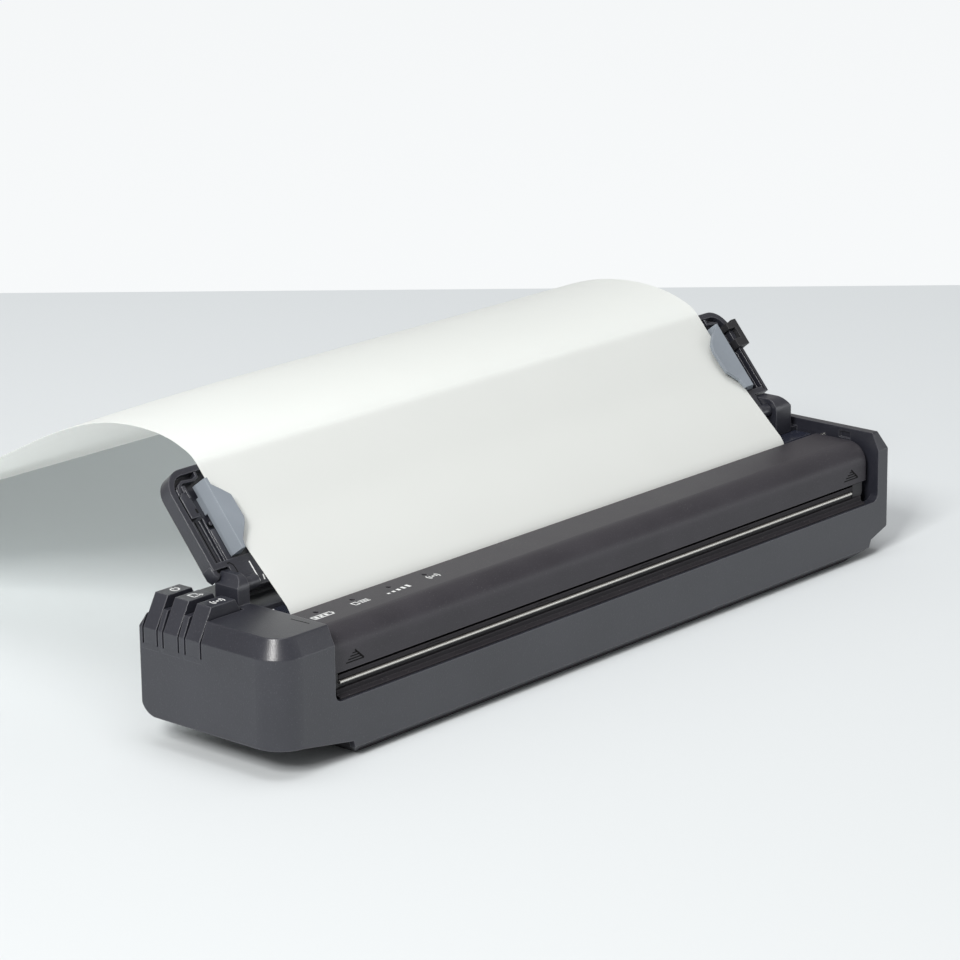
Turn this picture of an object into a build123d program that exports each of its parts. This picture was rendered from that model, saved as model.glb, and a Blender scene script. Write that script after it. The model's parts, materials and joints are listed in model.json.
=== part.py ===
from build123d import *
import math
import os

# Portable A4 thermal printer, drawn with its paper lid open and one sheet loaded.
# Millimetres. X runs along the printer, -Y is the front where the paper comes out, +Z is up.
# The origin is on the table, under the middle of the housing.

# Housing
LENGTH = 259.0
DEPTH = 50.6
TOP_Z = 37.4
SHOULDER_Z = 32.2
SHOULDER_INSET = 2.4
NEAR_CORNER_R = 8.5
EDGE_R = 0.5
CORNER_R = 0.8
WALL = 2.0
BELLY_Z = 0.6
SKIN = 2.0
LEFT_END = -LENGTH / 2
RIGHT_END = LENGTH / 2
FRONT = -DEPTH / 2
REAR = DEPTH / 2
END_LINE = [(LEFT_END - 1, 8.3), (LEFT_END + 8.2, 8.0), (LEFT_END + 26.4, 5.0)]
END_CORNER_R = 5.5

# Mouth between the key block on the left and the thin wall on the right
MOUTH_X0 = -109.4
MOUTH_X1 = 124.3
PANEL_TOP_Z = 16.9
LIP_Y = -22.3
DECK_Y0 = 5.0
DECK_Y1 = 14.2
DECK_Z = 35.0

# Paper
SHEET_X0 = -101.55
SHEET_X1 = 108.45
SHEET_T = 0.2
PLATEN_Y = -16.5
PLATEN_Z = 17.1
PLATEN_R = 4.5
SHAFT_R = 2.5

# Release cover
COVER_X0 = -108.8
COVER_X1 = 123.0
COVER_T = 1.8
COVER_LIP_Z = 23.3
COVER_FRONT_Y = -22.4
COVER_TOP_Z = 34.6
COVER_BEND_R = 6.3
COVER_END_R = 1.5
COVER_AXIS_Y = -4.3
COVER_AXIS_Z = 33.4
COVER_BEAD_R = 1.2
COVER_PIN_R = 0.6

# Lid, drawn flat in its own plane: x along the printer, s up the slope, n out of the paper side
LID_TILT = 50.0
LID_TOP_Y = 31.1
LID_TOP_Z = 67.9
LID_X0 = -114.3
LID_X1 = 119.7
LID_WIDE_S = -29.0
LID_LIP_S = -36.3
LID_NECK_X0 = -108.9
LID_NECK_X1 = 113.1
LID_T = 4.2
LID_RIM = 1.7
LID_FLOOR_N = -2.2
LID_CORNER_R = 6.5
HINGE_S = -35.1
HINGE_N = 0.6
BARREL_R = 2.0
HINGE_PIN_R = 1.2
KNUCKLE_LEFT = (-113.6, MOUTH_X0)
KNUCKLE_RIGHT = (113.5, 120.7)
KNUCKLE_R = 3.5
KNUCKLE_BACK = 4.8
KNUCKLE_SLOPE = (2.3, 2.7)

LID_PLANE = Plane(
    origin=(0, LID_TOP_Y, LID_TOP_Z),
    x_dir=(1, 0, 0),
    z_dir=(0, -math.sin(math.radians(LID_TILT)), math.cos(math.radians(LID_TILT))),
)
HINGE_POINT = LID_PLANE.from_local_coords(Vector(0, HINGE_S, HINGE_N))
HINGE_Y = HINGE_POINT.Y
HINGE_Z = HINGE_POINT.Z

# Keys on the left block
KEYS = {"wireless_key": (2.8, 7.9), "feed_key": (10.9, 15.9), "power_key": (18.6, 23.2)}
KEY_SLOT = 0.6
KEY_TOP_Z = 40.5
KEY_HINGE_Z = 27.2
KEY_T = 1.8
KEY_END_X = -114.6
KEY_POST_X = -120.6

# Drive at the right end of the chassis
FRAME_X0 = -105.4
FRAME_X1 = 112.2
FRAME_T = 1.6
FRAME_FLOOR_Z = 5.2
FRAME_STEP_X = -99.5
FRAME_STEP_Z = 9.0
GEAR_X0 = 113.4
GEAR_W = 4.0
PLATEN_GEAR_R = 4.6
IDLER_R = 7.2
IDLER_Y = -5.2
IDLER_Z = 13.2
PINION_R = 2.6
MOTOR_Y = 4.7
MOTOR_Z = 14.5
MOTOR_R = 9.0

# Fasteners and feet
SCREWS = [(-114.5, -20.5, 7.1), (-114.5, 18.5, 7.1), (115.2, -20.5, 1.9), (115.2, 20.5, 1.9)]
SCREW_R = 1.25
SCREW_HEAD_R = 2.5
FEET = [(-88.0, -17.0), (-88.0, 17.0), (0.0, 0.0), (100.0, -17.0), (100.0, 17.0)]
FOOT_R = 4.0
FOOT_H = 2.0

# Sockets in the right end
SOCKET_Z = 20.0
USB_Y = 8.0
USB_W = 7.6
USB_H = 2.8
JACK_Y = 17.5
JACK_R = 4.0
JACK_BORE_R = 2.8
SOCKET_X0 = 118.5
SOCKET_X1 = 129.3

# Status lights under the release cover
LIGHTS_X = [-97.9, -84.3, -70.5, -56.5]
LIGHT_Y = -7.7
LIGHT_R = 0.8

FIT = 0.05


# Small builders

def block(x0, x1, y0, y1, z0, z1):
    """Box between two corners."""
    centre = ((x0 + x1) / 2, (y0 + y1) / 2, (z0 + z1) / 2)
    return Pos(*centre) * Box(x1 - x0, y1 - y0, z1 - z0)


def rod(x0, x1, y, z, radius):
    """Round bar along X."""
    return Pos((x0 + x1) / 2, y, z) * Rot(0, 90, 0) * Cylinder(radius, x1 - x0)


def post(x, y, z0, z1, radius):
    """Round bar along Z."""
    return Pos(x, y, (z0 + z1) / 2) * Cylinder(radius, z1 - z0)


def strip(x0, x1, outline):
    """Prism along X from a closed (y, z) outline."""
    return extrude(Plane.YZ.offset(x0) * make_face(outline), amount=x1 - x0)


def slab(y0, y1, outline):
    """Prism along Y from a closed (x, z) outline."""
    return extrude(Plane.XZ.offset(-y0) * make_face(outline), amount=y0 - y1)


def closed(*points):
    """Closed straight-sided outline."""
    return Polyline(*points, close=True)


def gear(x0, x1, y, z, tip_radius, teeth):
    """Spur gear along X with plain square teeth."""
    tooth_h = 0.8
    tooth_w = math.pi * tip_radius / teeth
    body = rod(x0, x1, y, z, tip_radius - tooth_h)
    for i in range(teeth):
        turn = Pos(0, y, z) * Rot(360.0 * i / teeth, 0, 0)
        body += turn * block(x0, x1, -tooth_w / 2, tooth_w / 2, 0, tip_radius - 0.05)
    return body


def on_lid(shape):
    """Move a shape drawn in the lid's own plane to where the open lid is."""
    return LID_PLANE.location * shape


# Housing

def shell_plan(inset, z):
    """Plan outline of the housing, moved in by inset."""
    face = Rectangle(LENGTH - 2 * inset, DEPTH - 2 * inset)
    near = face.vertices().sort_by(Axis.X)[:2].sort_by(Axis.Y)[0]
    others = [v for v in face.vertices() if v != near]
    face = fillet(near, NEAR_CORNER_R - inset)
    others = [v for v in face.vertices() if min((v.center() - o.center()).length for o in others) < 0.01]
    face = fillet(others, max(CORNER_R - inset, 0.5))
    return Pos(0, 0, z) * face


def underside():
    """Outline in (x, z) of the housing seen from the front: raised ends, a deeper belly between."""
    belly_left = LEFT_END + 27.0
    return closed(
        *END_LINE,
        (belly_left, 3.0),
        (belly_left + 2.5, BELLY_Z),
        (RIGHT_END - 17.5, BELLY_Z),
        (RIGHT_END - 13.5, 1.9),
        (RIGHT_END - 9.1, 3.4),
        (RIGHT_END - 8.3, 5.5),
        (RIGHT_END - 1.0, 8.0),
        (RIGHT_END + 1, 9.4),
        (RIGHT_END + 1, TOP_Z + 1),
        (LEFT_END - 1, TOP_Z + 1),
    )


def side_profile():
    """Outline in (y, z) of the housing seen from its end: chamfer in front, round corner behind."""
    chamfer = 2.7
    corner = 5.0
    low = BELLY_Z
    lines = Polyline(
        (REAR, low + corner), (REAR, TOP_Z), (FRONT, TOP_Z), (FRONT, low + chamfer), (FRONT + chamfer, low),
        (REAR - corner, low),
    )
    return lines + JernArc(start=(REAR - corner, low), tangent=(1, 0), radius=corner, arc_size=90)


def rear_corner_cut():
    """What the round lower rear corner takes off the raised left end."""
    reach = END_CORNER_R + 3.0
    corner = Rectangle(reach, reach, align=(Align.MIN, Align.MAX)) - Circle(END_CORNER_R)
    cut = []
    for (x0, z0), (x1, z1) in zip(END_LINE, END_LINE[1:]):
        face = Plane.YZ.offset(x0) * Pos(REAR - END_CORNER_R, z0 + END_CORNER_R) * corner
        run = Vector(x1 - x0, 0, z1 - z0)
        cut.append(extrude(face, amount=run.length, dir=run.normalized()))
    return cut


def outer_form():
    """Solid outer form of the whole housing."""
    form = extrude(shell_plan(0, 0), amount=SHOULDER_Z)
    form += loft([shell_plan(0, SHOULDER_Z), shell_plan(SHOULDER_INSET, TOP_Z)], ruled=True)
    shoulders = form.edges().filter_by(lambda e: e.bounding_box().size.Z < 0.01 and e.center().Z > 1)
    form = fillet(shoulders, EDGE_R)
    form &= slab(FRONT - 1, REAR + 1, underside())
    form &= strip(LEFT_END - 1, RIGHT_END + 1, side_profile())
    for cut in rear_corner_cut():
        form -= cut
    return form


def block_hollow():
    """Room inside the key block."""
    room = extrude(shell_plan(WALL, -1), amount=32.0)
    room += extrude(shell_plan(WALL + 1.2, 31.0), amount=4.4)
    return room & block(LEFT_END, MOUTH_X0 - WALL, FRONT, REAR, -1, 40)


def bay_hollow():
    """Room for the mechanism, open at the belly."""
    room = strip(MOUTH_X0, MOUTH_X1, closed(
        (-23.3, -1), (-23.3, 14.0), (LIP_Y, 14.0), (LIP_Y, 33.0), (16.2, 33.0), (16.2, 35.2), (22.0, 35.2),
        (22.0, 33.0), (23.3, 31.0), (23.3, -1),
    ))
    return room


def mouth():
    """Opening over the mechanism: round lower corners in the front, the sunk deck behind."""
    width = MOUTH_X1 - MOUTH_X0
    height = 44.0
    middle = Pos((MOUTH_X0 + MOUTH_X1) / 2, PANEL_TOP_Z + height / 2)
    corner_r = 2.2
    front_cut = extrude(Plane.XZ.offset(-LIP_Y) * middle * RectangleRounded(width, height, corner_r), amount=6)
    rear_cut = strip(MOUTH_X0, MOUTH_X1, closed(
        (LIP_Y - 0.5, PANEL_TOP_Z + corner_r), (LIP_Y, PANEL_TOP_Z), (DECK_Y0, PANEL_TOP_Z), (DECK_Y0, DECK_Z),
        (DECK_Y1, DECK_Z), (DECK_Y1, TOP_Z + 2), (LIP_Y - 0.5, TOP_Z + 2),
    ))
    return front_cut + rear_cut


def knuckle(x_range, base_z, outer_x, inward):
    """Upright ear that carries one lid pin: round front corner, and a sloped outer shoulder."""
    x0, x1 = x_range
    top = HINGE_Z + KNUCKLE_R
    ear = block(x0, x1, HINGE_Y - KNUCKLE_R, HINGE_Y + KNUCKLE_BACK, base_z, top)
    top_edges = ear.edges().filter_by(Axis.X).group_by(Axis.Z)[-1].sort_by(Axis.Y)
    ear = fillet(top_edges[0], KNUCKLE_R)
    run, rise = KNUCKLE_SLOPE
    run *= inward
    shoulder = closed((outer_x, top - rise), (outer_x + run, top), (outer_x + run, top + 1),
                      (outer_x - run, top + 1), (outer_x - run, top - rise))
    return ear - slab(HINGE_Y - KNUCKLE_R - 1, HINGE_Y + KNUCKLE_BACK + 1, shoulder)


def key_cut(y0, y1):
    """Slot in the block that a key fills."""
    wall_mid = LEFT_END + KEY_T / 2
    cut = block(LEFT_END - 1, KEY_END_X + 0.7, y0 - KEY_SLOT, y1 + KEY_SLOT, KEY_HINGE_Z, 45)
    hinge = Pos(wall_mid, (y0 + y1) / 2, KEY_HINGE_Z) * Rot(90, 0, 0)
    cut += hinge * Cylinder(KEY_T / 2 + FIT, y1 - y0 + 2 * KEY_SLOT)
    cut += block(LEFT_END - 1, wall_mid, y0 - KEY_SLOT, y1 + KEY_SLOT, KEY_HINGE_Z - 0.1, KEY_HINGE_Z + 1)
    return cut


def make_casing():
    body = outer_form()
    body -= block_hollow()
    body -= bay_hollow()
    body -= mouth()
    body += knuckle(KNUCKLE_LEFT, TOP_Z - 1, KNUCKLE_LEFT[0], 1)
    body += knuckle(KNUCKLE_RIGHT, DECK_Z - 1, KNUCKLE_RIGHT[1], -1)
    # shelf for the key board
    body += block(-113.0, MOUTH_X0 - WALL, 1, 22, 28.2, 29.6)
    for x, y, z in SCREWS:
        wall_y = math.copysign(REAR - WALL / 2, y)
        boss = post(x, y, z + 2.9, z + 9.0, 3.0)
        boss += block(x - 1, x + 1, min(y, wall_y), max(y, wall_y), z + 2.9, z + 9.0)
        body += boss
    body -= bottom_skin(WALL)
    for x, y, z in SCREWS:
        body -= post(x, y, z, z + 8.0, SCREW_R)
    for y0, y1 in KEYS.values():
        body -= key_cut(y0, y1)
    body -= rod(KNUCKLE_LEFT[0] + 1.0, KNUCKLE_RIGHT[1] - 1.0, HINGE_Y, HINGE_Z, HINGE_PIN_R)
    body -= rod(-112.2, 126.2, COVER_AXIS_Y, COVER_AXIS_Z, COVER_PIN_R + FIT)
    # windows for the two sockets, and a small catch recess in the right wall
    body -= block(120, 131, USB_Y - USB_W / 2 - 0.2, USB_Y + USB_W / 2 + 0.2,
                  SOCKET_Z - USB_H / 2 - 0.2, SOCKET_Z + USB_H / 2 + 0.2)
    body -= rod(120, 131, JACK_Y, SOCKET_Z, JACK_R + 0.1)
    body -= block(120, 125.0, -14.8, -10.8, 34.2, 36.2)
    return body


def bottom_skin(inset):
    """Sheet of even height that follows the underside, inside the walls."""
    inner = extrude(shell_plan(inset, -1), amount=45)
    form = outer_form() & inner
    return form - Pos(0, 0, SKIN) * form


def make_base_cover():
    """Bottom skin that closes the housing from below."""
    skin = bottom_skin(WALL + FIT)
    # a rest nub under the key block
    skin += post(-121.0, -18.0, 6.4, 9.0, 2.5)
    for x, y, z in SCREWS:
        skin -= post(x, y, z - 3.0, z + 1.3, SCREW_HEAD_R + 0.1)
        skin -= post(x, y, z, z + 4.0, SCREW_R + 0.1)
    for x, y in FEET:
        skin -= post(x, y, 0, FOOT_H, FOOT_R + FIT)
    return skin


def make_feet():
    return Compound(children=[post(x, y, 0, FOOT_H, FOOT_R) for x, y in FEET])


def make_case_screws():
    screws = []
    for x, y, z in SCREWS:
        screw = post(x, y, z + 0.2, z + 1.3, SCREW_HEAD_R)
        screw += post(x, y, z + 1.3, z + 8.0, SCREW_R)
        screw -= block(x - 0.4, x + 0.4, y - 1.8, y + 1.8, z, z + 0.8)
        screws.append(screw)
    return Compound(children=screws)


# Mechanism

def make_inner_frame():
    """Steel chassis: stepped floor plate with an upright plate at each end."""
    frame = slab(-21.9, 17.0, closed(
        (FRAME_X0, FRAME_STEP_Z), (FRAME_STEP_X + 1.2, FRAME_STEP_Z), (FRAME_STEP_X + 1.2, FRAME_FLOOR_Z),
        (FRAME_X1, FRAME_FLOOR_Z), (FRAME_X1, 4.0), (FRAME_STEP_X, 4.0), (FRAME_STEP_X, FRAME_STEP_Z - 1.2),
        (FRAME_X0, FRAME_STEP_Z - 1.2),
    ))
    for x0, low in ((FRAME_X0, FRAME_STEP_Z), (FRAME_X1 - FRAME_T, FRAME_FLOOR_Z)):
        frame += strip(x0, x0 + FRAME_T, closed(
            (-21.0, low), (-21.0, 21.2), (-8.0, 21.2), (-4.0, 17.5), (16.0, 17.5), (17.0, 16.5), (17.0, low),
        ))
        frame -= rod(x0 - 1, x0 + FRAME_T + 1, PLATEN_Y, PLATEN_Z, SHAFT_R + 1.3)
    frame -= rod(FRAME_X1 - 3, FRAME_X1 + 1, MOTOR_Y, MOTOR_Z, 1.6)
    frame -= rod(FRAME_X1 - 3, FRAME_X1 + 1, IDLER_Y, IDLER_Z, 1.5)
    return frame


def make_shaft_bushes():
    bushes = []
    for x0 in (FRAME_X0, FRAME_X1 - FRAME_T):
        bush = rod(x0, x0 + FRAME_T, PLATEN_Y, PLATEN_Z, SHAFT_R + 1.3)
        bush += rod(x0 - 0.5, x0, PLATEN_Y, PLATEN_Z, SHAFT_R + 1.5)
        bush -= rod(x0 - 1, x0 + FRAME_T + 1, PLATEN_Y, PLATEN_Z, SHAFT_R + FIT)
        bushes.append(bush)
    return Compound(children=bushes)


def make_platen_shaft():
    return rod(FRAME_X0 - 1.5, GEAR_X0 + GEAR_W + 0.5, PLATEN_Y, PLATEN_Z, SHAFT_R)


def make_platen_roller():
    roller = rod(SHEET_X0, SHEET_X1, PLATEN_Y, PLATEN_Z, PLATEN_R)
    return roller - rod(SHEET_X0 - 1, SHEET_X1 + 1, PLATEN_Y, PLATEN_Z, SHAFT_R)


def make_platen_gear():
    wheel = gear(GEAR_X0, GEAR_X0 + GEAR_W, PLATEN_Y, PLATEN_Z, PLATEN_GEAR_R, 16)
    return wheel - rod(GEAR_X0 - 1, GEAR_X0 + GEAR_W + 1, PLATEN_Y, PLATEN_Z, SHAFT_R)


def make_idler_gear():
    wheel = gear(GEAR_X0, GEAR_X0 + GEAR_W, IDLER_Y, IDLER_Z, IDLER_R, 24)
    return wheel - rod(GEAR_X0 - 1, GEAR_X0 + GEAR_W + 1, IDLER_Y, IDLER_Z, 1.5 + FIT)


def make_idler_axle():
    return rod(FRAME_X1 - FRAME_T, GEAR_X0 + GEAR_W + 0.2, IDLER_Y, IDLER_Z, 1.5)


def make_drive_motor():
    """Motor can, bored along its axis for its own shaft."""
    x1 = FRAME_X1 - FRAME_T
    motor = rod(x1 - 32.0, x1, MOTOR_Y, MOTOR_Z, MOTOR_R)
    return motor - rod(x1 - 20.0, x1 + 1, MOTOR_Y, MOTOR_Z, 1.0 + FIT)


def make_motor_shaft():
    return rod(FRAME_X1 - FRAME_T - 19.0, GEAR_X0 + GEAR_W, MOTOR_Y, MOTOR_Z, 1.0)


def make_motor_pinion():
    wheel = gear(GEAR_X0, GEAR_X0 + GEAR_W, MOTOR_Y, MOTOR_Z, PINION_R, 9)
    return wheel - rod(GEAR_X0 - 1, GEAR_X0 + GEAR_W + 1, MOTOR_Y, MOTOR_Z, 1.0)


def make_exit_guide():
    """Upright lip the paper slides over before the tear bar, with a cheek at each end."""
    guide = slab(-21.9, -21.25, closed(
        (-105.3, 21.6), (-105.3, FRAME_STEP_Z), (-98.3, FRAME_STEP_Z), (-98.3, FRAME_FLOOR_Z),
        (112.0, FRAME_FLOOR_Z), (112.0, 11.2), (115.7, 11.2), (115.7, 21.6),
    ))
    guide += block(-108.4, -105.3, -22.2, -21.25, 17.4, 23.1)
    cheek = block(115.7, 120.4, -22.2, -21.25, 18.6, 23.1)
    low_edge = cheek.edges().filter_by(Axis.Y).group_by(Axis.Z)[0].sort_by(Axis.X)[-1]
    return guide + fillet(low_edge, 1.8)


def make_tear_bar():
    bar = block(-105.2, 114.4, -23.0, -21.9, 20.3, 21.3)
    front = bar.edges().filter_by(Axis.X).group_by(Axis.Y)[0]
    return fillet(front, 0.45)


def make_inlet_guide():
    """Glossy chute behind the sheet, from the top opening down to the roller."""
    return strip(MOUTH_X0 + 0.9, MOUTH_X1 - 1.3, closed(
        (-1.2, 33.8), (4.7, 33.8), (4.7, 32.4), (-0.3, 32.4), (-4.2, 24.0), (-5.77, 24.0),
    ))


def make_paper_sensor():
    return block(-20, -14, -10.8, -7.5, 6.8, 20.5)


def make_main_board():
    board = block(-98, 76, -20.8, 0.5, 5.2, 6.8)
    for x0, size in ((-92, 14), (-70, 10), (-46, 12), (20, 9), (45, 16)):
        board += block(x0, x0 + size, -17, -17 + size * 0.7, 6.8, 8.6)
    return board


def make_battery_pack():
    pack = block(-60, 70, 1.5, 16.5, 5.2, 26.0)
    return fillet(pack.edges().filter_by(Axis.X), 2.0)


def make_socket_board():
    return block(SOCKET_X0 - 0.8, SOCKET_X0, 3, 22, 14, 25)


def make_usb_socket():
    socket = block(SOCKET_X0, SOCKET_X1, USB_Y - USB_W / 2, USB_Y + USB_W / 2,
                   SOCKET_Z - USB_H / 2, SOCKET_Z + USB_H / 2)
    socket -= block(SOCKET_X0 + 4, SOCKET_X1 + 1, USB_Y - USB_W / 2 + 0.4, USB_Y + USB_W / 2 - 0.4,
                    SOCKET_Z - USB_H / 2 + 0.4, SOCKET_Z + USB_H / 2 - 0.4)
    tongue = block(SOCKET_X0 + 4, SOCKET_X1 - 1, USB_Y - 2.4, USB_Y + 2.4, SOCKET_Z - 0.3, SOCKET_Z + 0.3)
    return socket + tongue


def make_power_jack():
    jack = rod(SOCKET_X0, SOCKET_X1, JACK_Y, SOCKET_Z, JACK_R)
    jack -= rod(SOCKET_X0 + 1.5, SOCKET_X1 + 1, JACK_Y, SOCKET_Z, JACK_BORE_R)
    return jack + rod(SOCKET_X0 + 1.5, SOCKET_X1 - 0.8, JACK_Y, SOCKET_Z, 0.85)


def make_key_board():
    board = block(-125.9, MOUTH_X0 - WALL - 0.1, 1, 22, 29.6, 31.0)
    for y0, y1 in KEYS.values():
        middle = min((y0 + y1) / 2, 20.0)
        board += block(KEY_POST_X - 3, KEY_POST_X + 3, middle - 1.9, middle + 1.9, 31.0, 34.5)
    return board


# Keys

def make_key(y0, y1):
    """Bent finger: a strip of the end wall, a sloped face and a raised top."""
    x0 = LEFT_END
    key = slab(y0, y1, closed(
        (x0, KEY_HINGE_Z), (x0, SHOULDER_Z), (x0 + 4.6, KEY_TOP_Z), (x0 + 13.1, KEY_TOP_Z), (KEY_END_X, 37.2),
        (KEY_END_X, 36.6), (x0 + 4.1, 36.6), (x0 + KEY_T, 32.6), (x0 + KEY_T, KEY_HINGE_Z),
    ))
    middle = (y0 + y1) / 2
    key += Pos(x0 + KEY_T / 2, middle, KEY_HINGE_Z) * Rot(90, 0, 0) * Cylinder(KEY_T / 2, y1 - y0)
    key += block(KEY_POST_X - 1, KEY_POST_X + 1, middle - 1, middle + 1, 34.9, 36.6)
    return key


# Release cover

def cover_outer_line():
    """Outside line of the cover in (y, z), from the front lip over the bend to the hinge line."""
    bend_y = COVER_FRONT_Y + COVER_BEND_R
    bend_z = COVER_TOP_Z - COVER_BEND_R
    line = Line((COVER_FRONT_Y, COVER_LIP_Z), (COVER_FRONT_Y, bend_z))
    line += JernArc(start=(COVER_FRONT_Y, bend_z), tangent=(0, 1), radius=COVER_BEND_R, arc_size=-90)
    return line + Line((bend_y, COVER_TOP_Z), (COVER_AXIS_Y, COVER_TOP_Z))


def cover_block():
    """Full form of the cover with rounded ends."""
    lip = (COVER_FRONT_Y, COVER_LIP_Z)
    bead_low = (COVER_AXIS_Y, COVER_AXIS_Z - COVER_BEAD_R)
    back = Polyline((COVER_AXIS_Y, COVER_TOP_Z), bead_low, (-8.0, 26.0), (-20.0, COVER_LIP_Z), lip)
    form = strip(COVER_X0, COVER_X1, cover_outer_line() + back)
    ends = [e for e in form.edges() if e.bounding_box().size.X < 0.01]
    front = [e for e in ends if e.center().Y < COVER_FRONT_Y + 0.1]
    over = [e for e in ends if e.center().Z > COVER_TOP_Z - 3.0 and e.center().Y < COVER_AXIS_Y - 0.5]
    return fillet(front + over, COVER_END_R)


def make_release_cover():
    """Thin curved shell with closed ends and a bead along its rear hinge line."""
    bead_low = (COVER_AXIS_Y, COVER_AXIS_Z - COVER_BEAD_R)
    bend_y = COVER_FRONT_Y + COVER_BEND_R
    bend_z = COVER_TOP_Z - COVER_BEND_R
    under_z = COVER_TOP_Z - COVER_T
    under = Polyline((COVER_AXIS_Y, COVER_TOP_Z), bead_low, (COVER_AXIS_Y - 1.0, under_z), (bend_y, under_z))
    under += JernArc(start=(bend_y, under_z), tangent=(-1, 0), radius=COVER_BEND_R - COVER_T, arc_size=90)
    under += Polyline((COVER_FRONT_Y + COVER_T, bend_z), (COVER_FRONT_Y + COVER_T, COVER_LIP_Z),
                      (COVER_FRONT_Y, COVER_LIP_Z))
    form = cover_block()
    cover = form & strip(COVER_X0, COVER_X1, cover_outer_line() + under)
    cover += form & block(COVER_X0, COVER_X0 + COVER_T, -30, 0, 20, 40)
    cover += form & block(COVER_X1 - COVER_T, COVER_X1, -30, 0, 20, 40)
    cover += rod(COVER_X0 + COVER_END_R, COVER_X1 - COVER_END_R, COVER_AXIS_Y, COVER_AXIS_Z, COVER_BEAD_R)
    cover -= rod(COVER_X0 - 1, COVER_X0 + 3.0, COVER_AXIS_Y, COVER_AXIS_Z, COVER_PIN_R)
    cover -= rod(COVER_X1 - 3.0, COVER_X1 + 1, COVER_AXIS_Y, COVER_AXIS_Z, COVER_PIN_R)
    for x in LIGHTS_X:
        cover -= post(x, LIGHT_Y, 31, 36, LIGHT_R)
    return cover


def make_cover_pins():
    pins = [(-112.0, COVER_X0 + 3.0), (COVER_X1 - 3.0, 126.0)]
    return Compound(children=[rod(x0, x1, COVER_AXIS_Y, COVER_AXIS_Z, COVER_PIN_R) for x0, x1 in pins])


def make_light_pipes():
    return Compound(children=[post(x, LIGHT_Y, 29.0, 34.3, LIGHT_R) for x in LIGHTS_X])


def make_print_head():
    return block(-102.0, 109.0, -20.3, -15.8, 22.45, 23.4)


def make_head_bracket():
    return block(-104.0, 111.0, -20.3, -13.4, 23.4, 26.4)


def make_head_springs():
    springs = []
    for x in (-70.0, 3.5, 77.0):
        springs.append(post(x, -15.0, 26.4, 32.2, 1.6) - post(x, -15.0, 26.0, 33.0, 1.1))
    return Compound(children=springs)


# Lid and what it carries, drawn in the lid's own plane

def lid_prism(s0, s1, outline):
    """Prism up the slope from a closed (x, n) outline."""
    return slab(s0, s1, outline)


def make_lid():
    wide = (LID_X0 + LID_X1) / 2
    height = -LID_WIDE_S
    face = Pos(wide, LID_WIDE_S / 2) * Rectangle(LID_X1 - LID_X0, height)
    top = face.vertices().group_by(Axis.Y)[-1]
    face = fillet(top, LID_CORNER_R)
    body = extrude(face, amount=-LID_T)
    body += block(LID_NECK_X0, LID_NECK_X1, LID_LIP_S, LID_WIDE_S + 1, -LID_T, 0)
    pocket = Pos(wide, -14.5) * Rectangle(LID_X1 - LID_X0 - 2 * LID_RIM, 25.6)
    pocket = fillet(pocket.vertices().group_by(Axis.Y)[-1], LID_CORNER_R - LID_RIM)
    body -= Pos(0, 0, LID_FLOOR_N) * extrude(pocket, amount=4)
    for x0, x1 in ((LID_NECK_X0, -103.9), (108.9, LID_NECK_X1)):
        barrel = rod(x0, x1, HINGE_S, HINGE_N, BARREL_R)
        body += barrel
        body -= rod(x0 - 1, x1 + 1, HINGE_S, HINGE_N, HINGE_PIN_R + FIT)
    pinion_axle = post(3.45, -15.0, LID_FLOOR_N, -1.05, 0.9)
    return on_lid(body + pinion_axle)


def make_hinge_pins():
    left = rod(KNUCKLE_LEFT[0] + 1.0, -104.4, HINGE_Y, HINGE_Z, HINGE_PIN_R)
    right = rod(109.3, KNUCKLE_RIGHT[1] - 1.0, HINGE_Y, HINGE_Z, HINGE_PIN_R)
    return Compound(children=[left, right])


def make_support_panel():
    """Flat panel the sheet leans on, over the guide racks."""
    return on_lid(block(-98.0, 105.0, -27.2, -1.8, -1.0, -0.1))


def make_guide_left():
    wall = lid_prism(-26.5, -5.4, closed(
        (-105.5, -1.1), (-105.5, 0.0), (-104.5, 3.4), (-103.5, 3.4), (-102.1, -1.1),
    ))
    flange = extrude(make_face(closed(
        (-104.5, -5.4), (-104.1, -6.9), (-100.9, -9.7), (-98.9, -11.7), (-98.7, -18.5), (-99.5, -20.1),
        (-103.0, -24.3), (-103.6, -26.5), (-104.5, -26.5),
    )), amount=1.0)
    foot = block(-105.5, -99.0, -13.5, -8.5, -2.1, -1.1)
    return on_lid(wall + Pos(0, 0, 2.4) * flange + foot)


def make_guide_right():
    wall = lid_prism(-27.0, -5.4, closed(
        (109.0, -1.1), (109.7, 3.4), (110.7, 3.4), (113.5, 0.0), (113.5, -1.1),
    ))
    flange = extrude(make_face(closed(
        (110.7, -5.4), (106.1, -8.5), (103.5, -11.1), (102.7, -13.4), (102.9, -18.4), (103.1, -20.6),
        (104.4, -21.9), (106.4, -24.2), (107.3, -27.0), (110.7, -27.0),
    )), amount=1.0)
    foot = block(106.0, 113.5, -21.5, -16.5, -2.1, -1.1)
    return on_lid(wall + Pos(0, 0, 2.4) * flange + foot)


def make_rack_left():
    return on_lid(block(-99.0, 20.0, -12.0, -10.0, -2.1, -1.1))


def make_rack_right():
    return on_lid(block(-13.0, 106.0, -20.0, -18.0, -2.1, -1.1))


def make_guide_pinion():
    wheel = post(3.45, -15.0, -2.1, -1.1, 2.95)
    return on_lid(wheel - post(3.45, -15.0, -3, 0, 0.9 + FIT))


def make_latch_left():
    """Slider in the groove beside the left rim."""
    body = block(-111.4, -109.4, -13.8, -4.4, -2.1, -0.4)
    body -= block(-110.9, -109.9, -6.6, -5.4, -1.2, 0)
    return on_lid(body)


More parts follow.
